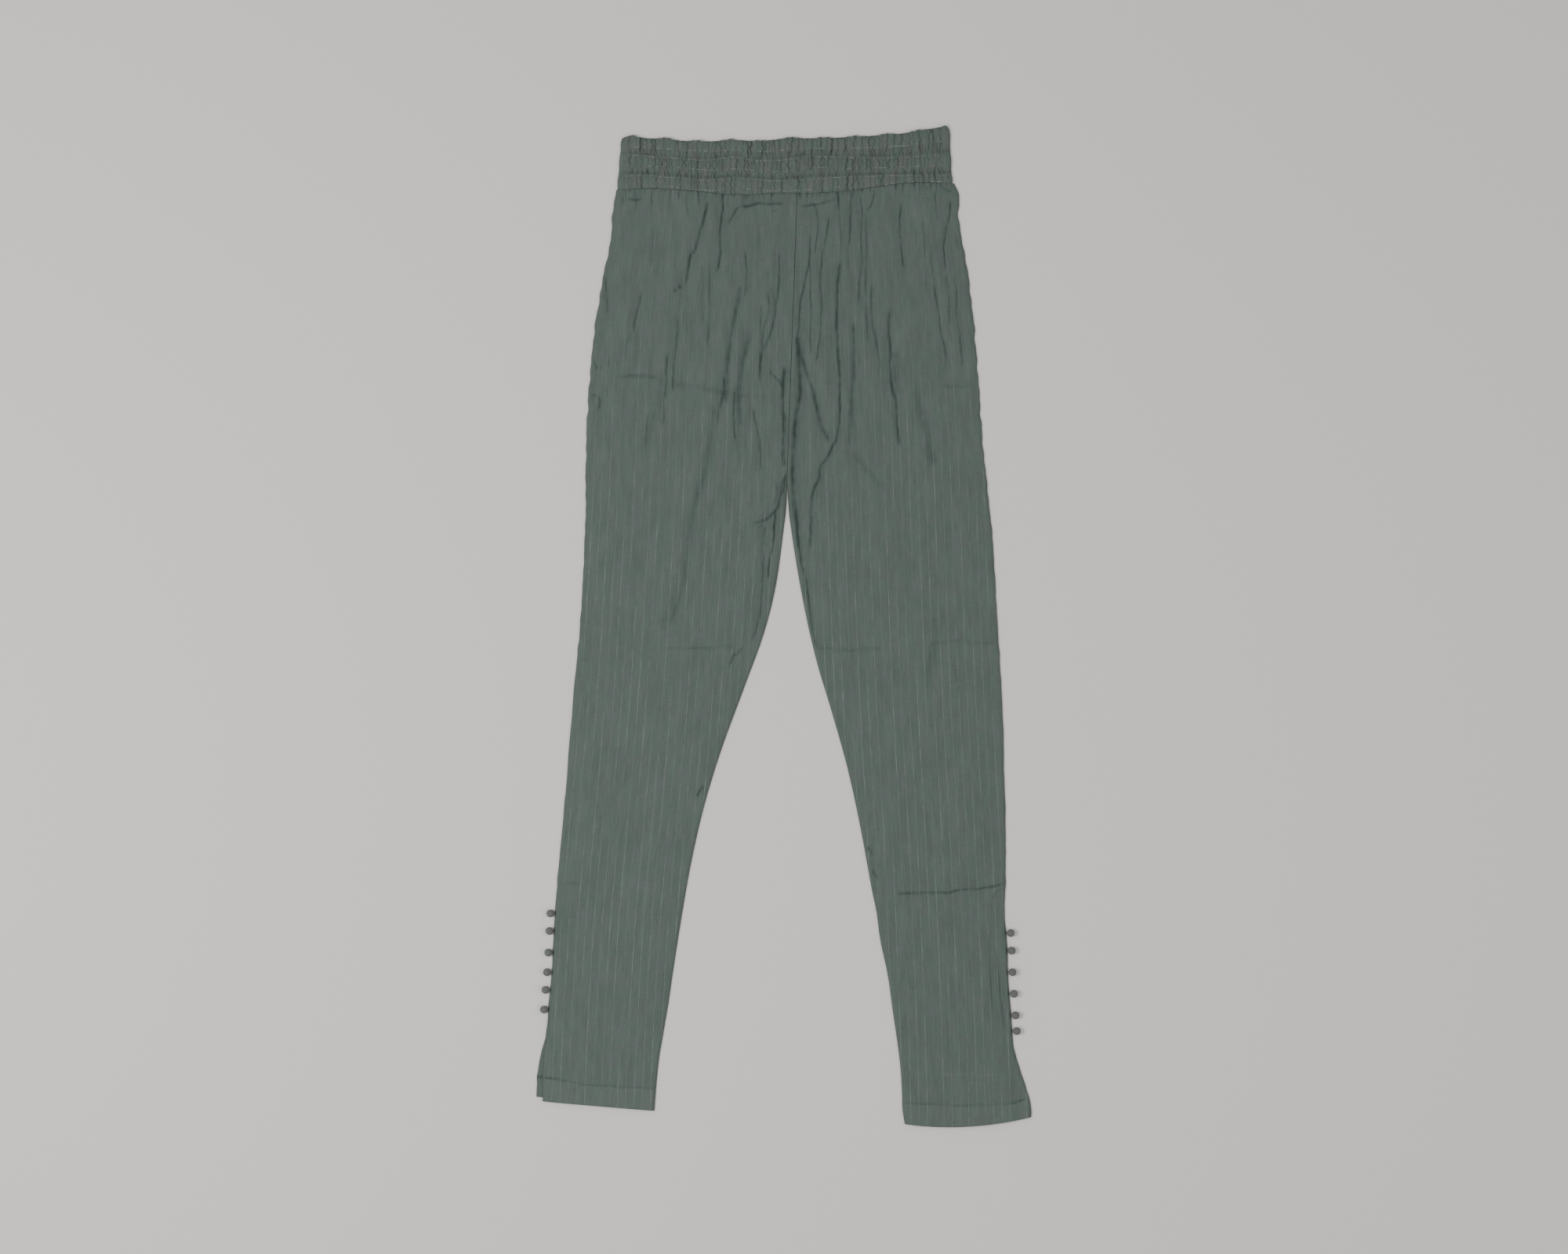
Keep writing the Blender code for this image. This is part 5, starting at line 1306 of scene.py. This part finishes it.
def pinstriped_cotton(name, colour, cloth, stripe_strength, wave_shade_and_patches, crinkle_shade, tint, cooling):
    """Yarn-dyed cotton shirting, washed soft: a matt grey-green cloth with thin light pinstripes.

    A light thread every 8.4 mm breaks up into dashes where it dips under the weft. Slubs give the
    cloth fine uneven lines along the leg. Its creases and fine crinkles get painted shade, and its
    broad patches are partly painted shade of soft waves. The weave is 0.3 mm a thread, too fine to
    show, so its bump is drawn at 0.9 mm.
    """
    material, node, shader = new_material(name, colour, roughness=0.88, specular=0.22, sheen=0.10)
    grain = node("UVMap", uv_map="grain")
    across, along, _ = node("SeparateXYZ", (grain,)).outputs

    # The nearest stripe, and how far off it is as a share of the pitch
    count = node("Math", (across, STRIPE_PITCH), operation="DIVIDE")
    number = node("Math", (count,), operation="ROUND")
    gap = node("Math", (count, number), operation="SUBTRACT")
    gap = node("Math", (gap,), operation="ABSOLUTE")
    half = cloth.stripe_width / STRIPE_PITCH / 2
    line = node("MapRange", (gap, half * 0.5, half * 1.6, 1.0, 0.0),
                interpolation_type="SMOOTHSTEP")
    own_place = node("Math", (number, 7.31), operation="MULTIPLY")
    own_line = node("CombineXYZ", (own_place, along))

    # Unevenness: what it follows, its sizes across and along, its detail and its roughness
    noises = []
    for follows, wide, long, shift, detail, rough in (
            (own_line, 1.0, 0.0110, 0, 2.0, 0.6),       # dashes of 6 to 40 mm along each stripe
            (grain, 0.012, 0.12, 0, 1.0, 0.5),          # swathes with stronger stripes
            (grain, 0.014, 0.016, 0, 2.0, 0.5),         # slightly warmer and cooler areas
            (grain, 0.0008, 0.018, 1, 2.0, 0.55),       # slubs along the warp
            (grain, 0.010, 0.0009, 1, 1.0, 0.55),       # slubs along the weft
            (grain, 0.009, 0.040, 1, 2.0, 0.55),        # broad patches: uneven tone from the wash, and painted shade of soft waves
            (grain, 0.0009, 0.0040, 1, 2.0, 0.55)):     # painted shade of fine crinkles
        place = node("Mapping", {
            "Vector": follows, "Location": (shift * wide * 90, 0.0, shift * long * 70),
            "Scale": (1 / wide, 1 / long, 1.0)})
        noises.append(node("TexNoise", {
            "Vector": place, "Scale": 1.0, "Detail": detail, "Roughness": rough}))
    dashes, swathes, warmth, *slubs = noises

    # The stripes fade towards the waist. A range takes a value, from where to where, and to what.
    stripe = line
    for strength in (node("MapRange", (dashes, 0.36, 0.66, 0.28, 1.20)),
                     node("MapRange", (swathes, 0.35, 0.66, 0.30, 1.60)),
                     node("MapRange", (along, 0.05, 0.38, stripe_strength,
                                       stripe_strength * 0.22))):
        stripe = node("Math", (stripe, strength), operation="MULTIPLY")

    # Slubs, patches, painted crinkle shade, and fine lines of a second shade 2.1 mm apart
    tone = 1.0
    for noise, strength in zip(slubs, (0.50, 0.20, wave_shade_and_patches, crinkle_shade)):
        noise = node("Math", (noise, 0.5), operation="SUBTRACT")
        tone = node("Math", (noise, strength, tone), operation="MULTIPLY_ADD")
    wave = node("Math", (across, math.tau / SECOND_SHADE_PITCH), operation="MULTIPLY")
    wave = node("Math", (wave,), operation="COSINE")
    tone = node("Math", (wave, 0.016, tone), operation="MULTIPLY_ADD")
    # Painted shade from the "fold" attribute: darker in creases, dips, valleys and along hem stitches
    fold = node("Attribute", attribute_type="GEOMETRY", attribute_name="fold").outputs["Fac"]
    tone = node("Math", (fold, -cloth.crease_shade, tone), operation="MULTIPLY_ADD")
    shaded = node("VectorMath", {0: colour, "Scale": tone}, operation="SCALE")

    # Light that comes back out of a crease has lost some of its red
    cooled = node("VectorMath", (fold, (-cooling, 0.0, 0.0), (1.0, 1.0, 1.0)),
                  operation="MULTIPLY_ADD")
    shaded = node("VectorMath", (shaded, cooled), operation="MULTIPLY")
    warmth = node("MapRange", (warmth, 0.35, 0.65))
    tints = node("Mix", {
        0: warmth, 6: (1 + tint, 1 - tint * 0.2, 1 + tint * 0.4, 1.0),
        7: (1 - tint, 1 + tint * 0.2, 1 - tint * 0.4, 1.0)}, data_type="RGBA").outputs[2]
    tinted = node("VectorMath", (shaded, tints), operation="MULTIPLY")
    striped = node("Mix", {0: stripe, 6: tinted, 7: (*cloth.stripe_colour, 1.0)},
                   data_type="RGBA").outputs[2]

    threads = [node("Math", (way, math.tau / WEAVE_PITCH), operation="MULTIPLY")
               for way in (across, along)]
    threads = [node("Math", (wave,), operation="SINE") for wave in threads]
    weave = node("Math", threads, operation="MULTIPLY")
    height = node("Math", (weave, 0.16, slubs[0]), operation="MULTIPLY_ADD")
    height = node("Math", (stripe, 0.35, height), operation="MULTIPLY_ADD")
    bump = node("Bump", {"Strength": 0.5, "Distance": 0.0002, "Height": height})
    fill(shader, {"Base Color": striped, "Normal": bump})
    return material


def covered_button_cotton(colour):
    """The same cotton cut on the cross and drawn round a ball: plain, its tone uneven in small patches.
    """
    material, node, shader = new_material("button_covered_cotton", colour, roughness=0.85,
                                          specular=0.25, sheen=0.12)
    place = node("TexCoord").outputs["Object"]
    noise = node("TexNoise", {
        "Vector": place, "Scale": 1 / 0.0016, "Detail": 3.0, "Roughness": 0.6})
    tone = node("MapRange", (noise, 0.25, 0.75, 0.80, 1.20))
    shaded = node("VectorMath", {0: colour, "Scale": tone}, operation="SCALE")
    threads = node("TexWave", {
        "Vector": place, "Scale": 2 / BUTTON_WEAVE_PITCH / math.tau, "Distortion": 2.0},
        wave_type="BANDS", bands_direction="DIAGONAL")
    bump = node("Bump", {
        "Strength": 0.5, "Distance": 0.00015, "Height": threads.outputs["Fac"]})
    fill(shader, {"Base Color": shaded, "Normal": bump})
    return material


def sewing_thread(name, colour):
    """Core-spun polyester thread: a fine ply that is a little glossier than the cloth."""
    material, node, shader = new_material(name, colour, roughness=0.62, specular=0.35)
    place = node("TexCoord").outputs["Object"]
    noise = node("TexNoise", {"Vector": place, "Scale": 1 / 0.0120, "Detail": 1.0})
    tone = node("MapRange", (noise, 0.35, 0.65, 0.45, 1.15))
    shaded = node("VectorMath", {0: colour, "Scale": tone}, operation="SCALE")
    fill(shader, {"Base Color": shaded})
    return material


def painted_floor(colour):
    """A matt painted studio board, even but for a faint roller texture."""
    material, node, shader = new_material("floor_matt_paint", colour, roughness=0.75, specular=0.3)
    place = node("TexCoord").outputs["Object"]
    noise = node("TexNoise", {"Vector": place, "Scale": 1 / 0.004, "Detail": 2.0})
    bump = node("Bump", {"Strength": 0.10, "Distance": 0.0003, "Height": noise})
    fill(shader, {"Normal": bump})
    return material


# What the settings of one kind have in common
COLOUR = {"subtype": "COLOR", "size": 3, "min": 0.0, "max": 1.0}
LENGTH = {"subtype": "DISTANCE", "unit": "LENGTH"}
SHARE = {"subtype": "FACTOR", "min": 0.0}


class ClothSettings(bpy.types.PropertyGroup):
    """Sizes and colours of the cotton."""
    colour: FloatVectorProperty(
        name="Cotton", description="Colour of the legs", default=linear("#4f5954"), **COLOUR)
    band_colour: FloatVectorProperty(
        name="Waistband", description="Colour of the gathered waistband",
        default=linear("#515a55"), **COLOUR)
    stripe_colour: FloatVectorProperty(
        name="Pinstripe", description="Colour of the light threads",
        default=linear("#8f9a93"), **COLOUR)
    stripe_width: FloatProperty(
        name="Stripe width", description="Width of a pinstripe", default=0.00065, min=0.0003,
        max=0.003, **LENGTH)
    # How much the painted shade held in the "fold" attribute darkens the cloth
    crease_shade: FloatProperty(
        name="Crease shade", description="How much darker the deepest creases are",
        default=0.56, max=1.0, **SHARE)
    gathering: FloatProperty(
        name="Gathering", description="Length of the waistband's cloth over its elastic",
        default=1.3, min=1.0, max=2.0)
    columns: IntProperty(
        name="Front columns", description="Columns of faces across a front", default=200,
        min=40, max=202)
    back_columns: IntProperty(
        name="Back columns", description="Columns of faces across a back", default=60,
        min=20, max=120)
    band_columns: IntProperty(
        name="Band columns", description="Columns of faces along the waistband", default=460,
        min=120, max=520)
    band_rows: IntProperty(
        name="Band rows", description="Rows of faces down the waistband", default=80,
        min=40, max=110)


class SewingSettings(bpy.types.PropertyGroup):
    """Sizes and colours of the stitches."""
    thread_colour: FloatVectorProperty(
        name="Waistband thread", description="Colour of the stitches on the waistband",
        default=linear("#a6a994"), **COLOUR)
    hem_thread_colour: FloatVectorProperty(
        name="Hem thread", description="Colour of the stitches at the hems",
        default=linear("#6d7772"), **COLOUR)
    thread: FloatProperty(
        name="Thread", description="Half the thickness of the thread", default=0.00022,
        min=0.0001, max=0.001, **LENGTH)
    pitch: FloatProperty(
        name="Stitch pitch", description="From one stitch to the next", default=0.0025,
        min=0.001, max=0.006, **LENGTH)
    length: FloatProperty(
        name="Stitch length", description="Length of thread that shows", default=0.0018,
        min=0.0005, max=0.005, **LENGTH)
    hidden: FloatProperty(
        name="Hidden stitches", description="Share of the stitches that sink out of sight",
        default=0.30, max=1.0, **SHARE)


class ButtonSettings(bpy.types.PropertyGroup):
    """Shape and colour of the covered ball buttons."""
    colour: FloatVectorProperty(
        name="Button cloth", description="Colour of the covered buttons",
        default=linear("#5b5e5a"), **COLOUR)
    pleats: IntProperty(
        name="Pleats", description="Pleats round a button", default=11, min=4, max=20)
    pleat_depth: FloatProperty(
        name="Pleat depth", description="Depth of a pleat, as a share of the ball's radius",
        default=0.07, max=0.2, **SHARE)
    steps: IntProperty(
        name="Steps", description="Faces round a button", default=44, min=12, max=64)


class StudioSettings(bpy.types.PropertyGroup):
    """The floor, the lights and the camera."""
    floor_colour: FloatVectorProperty(
        name="Floor", description="Colour of the floor", default=linear("#d2d0cb"), **COLOUR)
    view_width: FloatProperty(
        name="View width", description="Width of what the camera sees at the floor",
        default=1.6, min=0.5, max=5.0, **LENGTH)
    light: FloatProperty(
        name="Light", description="Power of the main lamp", default=45.0, min=0.0, max=500.0,
        subtype="POWER", unit="POWER")
    sky: FloatProperty(
        name="Sky", description="Strength of the even light from all round", default=0.60,
        min=0.0, max=3.0)


class PANTS_OT_fronts(bpy.types.Operator):
    """Make the cloth of the two fronts"""
    bl_idname = "pants.fronts"
    bl_label = "Make the fronts"

    def execute(self, context):
        cloth = context.scene.pants_cloth
        cotton = pinstriped_cotton("cotton_pinstriped", cloth.colour, cloth,
                                   stripe_strength=0.185, wave_shade_and_patches=0.30, crinkle_shade=0.05,
                                   tint=0.045, cooling=0.13)
        for leg in LEGS:
            make_front(leg, cloth, cotton)
        return {"FINISHED"}


class PANTS_OT_backs(bpy.types.Operator):
    """Make the cloth of the two backs"""
    bl_idname = "pants.backs"
    bl_label = "Make the backs"

    def execute(self, context):
        cloth = context.scene.pants_cloth
        cotton = bpy.data.materials["cotton_pinstriped"]
        for leg in LEGS:
            make_back(leg, cloth, cotton)
        return {"FINISHED"}


class PANTS_OT_waistband(bpy.types.Operator):
    """Make the waistband's front and back runs with their stitches"""
    bl_idname = "pants.waistband"
    bl_label = "Make the waistband"

    def execute(self, context):
        cloth, sewing = context.scene.pants_cloth, context.scene.pants_sewing
        cotton = pinstriped_cotton("cotton_gathered", cloth.band_colour, cloth,
                                   stripe_strength=0.14, wave_shade_and_patches=0.16, crinkle_shade=0.45,
                                   tint=0.08, cooling=0.03)
        thread = sewing_thread("thread_waistband", sewing.thread_colour)
        for front, maker in ((True, make_band_front), (False, make_band_back)):
            band = maker(cloth, cotton)
            stitches = make_band_stitches(sewing, thread, front)
        return {"FINISHED"}


class PANTS_OT_hems(bpy.types.Operator):
    """Stitch the hems of the four panels"""
    bl_idname = "pants.hems"
    bl_label = "Stitch the hems"

    def execute(self, context):
        sewing = context.scene.pants_sewing
        thread = sewing_thread("thread_hem", sewing.hem_thread_colour)
        for leg in LEGS:
            stitches = make_hem_stitches(leg, sewing, thread, front=True)
            stitches = make_hem_stitches(leg, sewing, thread, front=False)
        return {"FINISHED"}


class PANTS_OT_buttons(bpy.types.Operator):
    """Make the twelve ball buttons"""
    bl_idname = "pants.buttons"
    bl_label = "Make the buttons"

    def execute(self, context):
        buttons = context.scene.pants_buttons
        material = covered_button_cotton(buttons.colour)
        for leg in LEGS:
            for number in range(1, 7):
                make_button(leg, number, buttons, material)
        return {"FINISHED"}


class PANTS_OT_studio(bpy.types.Operator):
    """Make the floor, the lights and the camera straight above the pants"""
    bl_idname = "pants.studio"
    bl_label = "Make the studio"

    def execute(self, context):
        scene = context.scene
        studio = scene.pants_studio
        bm = bmesh.new()
        bmesh.ops.create_grid(bm, x_segments=1, y_segments=1, size=FLOOR_REACH)
        mesh = finished_mesh("floor", bm)
        mesh.transform(Matrix.Translation((0.0, 0.0, -FLOOR_GAP)))
        mesh.materials.append(painted_floor(studio.floor_colour))
        add_object("floor", mesh)

        for name, place, share, size in LAMPS:
            lamp = bpy.data.lights.new(name, "AREA")
            lamp.shape = "DISK"
            lamp.size = size
            lamp.energy = studio.light * share
            holder = add_object(name, lamp)
            holder.location = place
            holder.rotation_euler = (-Vector(place)).to_track_quat("-Z", "Y").to_euler()

        world = bpy.data.worlds.new("studio_sky")
        world.use_nodes = True
        fill(world.node_tree.nodes["Background"], {"Color": (1.0, 1.0, 1.0, 1.0),
                                                   "Strength": studio.sky})
        scene.world = world

        camera = bpy.data.cameras.new("camera")
        camera.lens, camera.sensor_width, camera.sensor_fit = 85.0, 36.0, "HORIZONTAL"
        scene.camera = add_object("camera", camera)
        scene.camera.location.z = studio.view_width * camera.lens / camera.sensor_width
        return {"FINISHED"}


class PANTS_PT_panel(bpy.types.Panel):
    """The pants' sizes and colours, and a button for each group of pieces"""
    bl_idname = "PANTS_PT_panel"
    bl_label = "Pinstriped pants"
    bl_space_type = "VIEW_3D"
    bl_region_type = "UI"
    bl_category = "Pants"

    def draw(self, context):
        for title, group in PROPERTY_GROUPS.items():
            box = self.layout.box()
            box.label(text=title.replace("pants_", "").capitalize())
            for name in group.__annotations__:
                box.prop(getattr(context.scene, title), name)
        for operator in OPERATORS:
            self.layout.operator(operator.bl_idname)


PROPERTY_GROUPS = {
    "pants_cloth": ClothSettings,
    "pants_sewing": SewingSettings,
    "pants_buttons": ButtonSettings,
    "pants_studio": StudioSettings,
}
OPERATORS = (PANTS_OT_fronts, PANTS_OT_backs, PANTS_OT_waistband, PANTS_OT_hems,
             PANTS_OT_buttons, PANTS_OT_studio)


def register():
    for name, group in PROPERTY_GROUPS.items():
        bpy.utils.register_class(group)
        setattr(bpy.types.Scene, name, PointerProperty(type=group))
    for item in (*OPERATORS, PANTS_PT_panel):
        bpy.utils.register_class(item)


def unregister():
    for item in (PANTS_PT_panel, *reversed(OPERATORS)):
        bpy.utils.unregister_class(item)
    for name, group in reversed(PROPERTY_GROUPS.items()):
        delattr(bpy.types.Scene, name)
        bpy.utils.unregister_class(group)


def main():
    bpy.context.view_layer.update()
    register()
    bpy.ops.pants.fronts()
    bpy.ops.pants.backs()
    bpy.ops.pants.waistband()
    bpy.ops.pants.hems()
    bpy.ops.pants.buttons()
    bpy.ops.pants.studio()


if __name__ == "__main__":
    main()
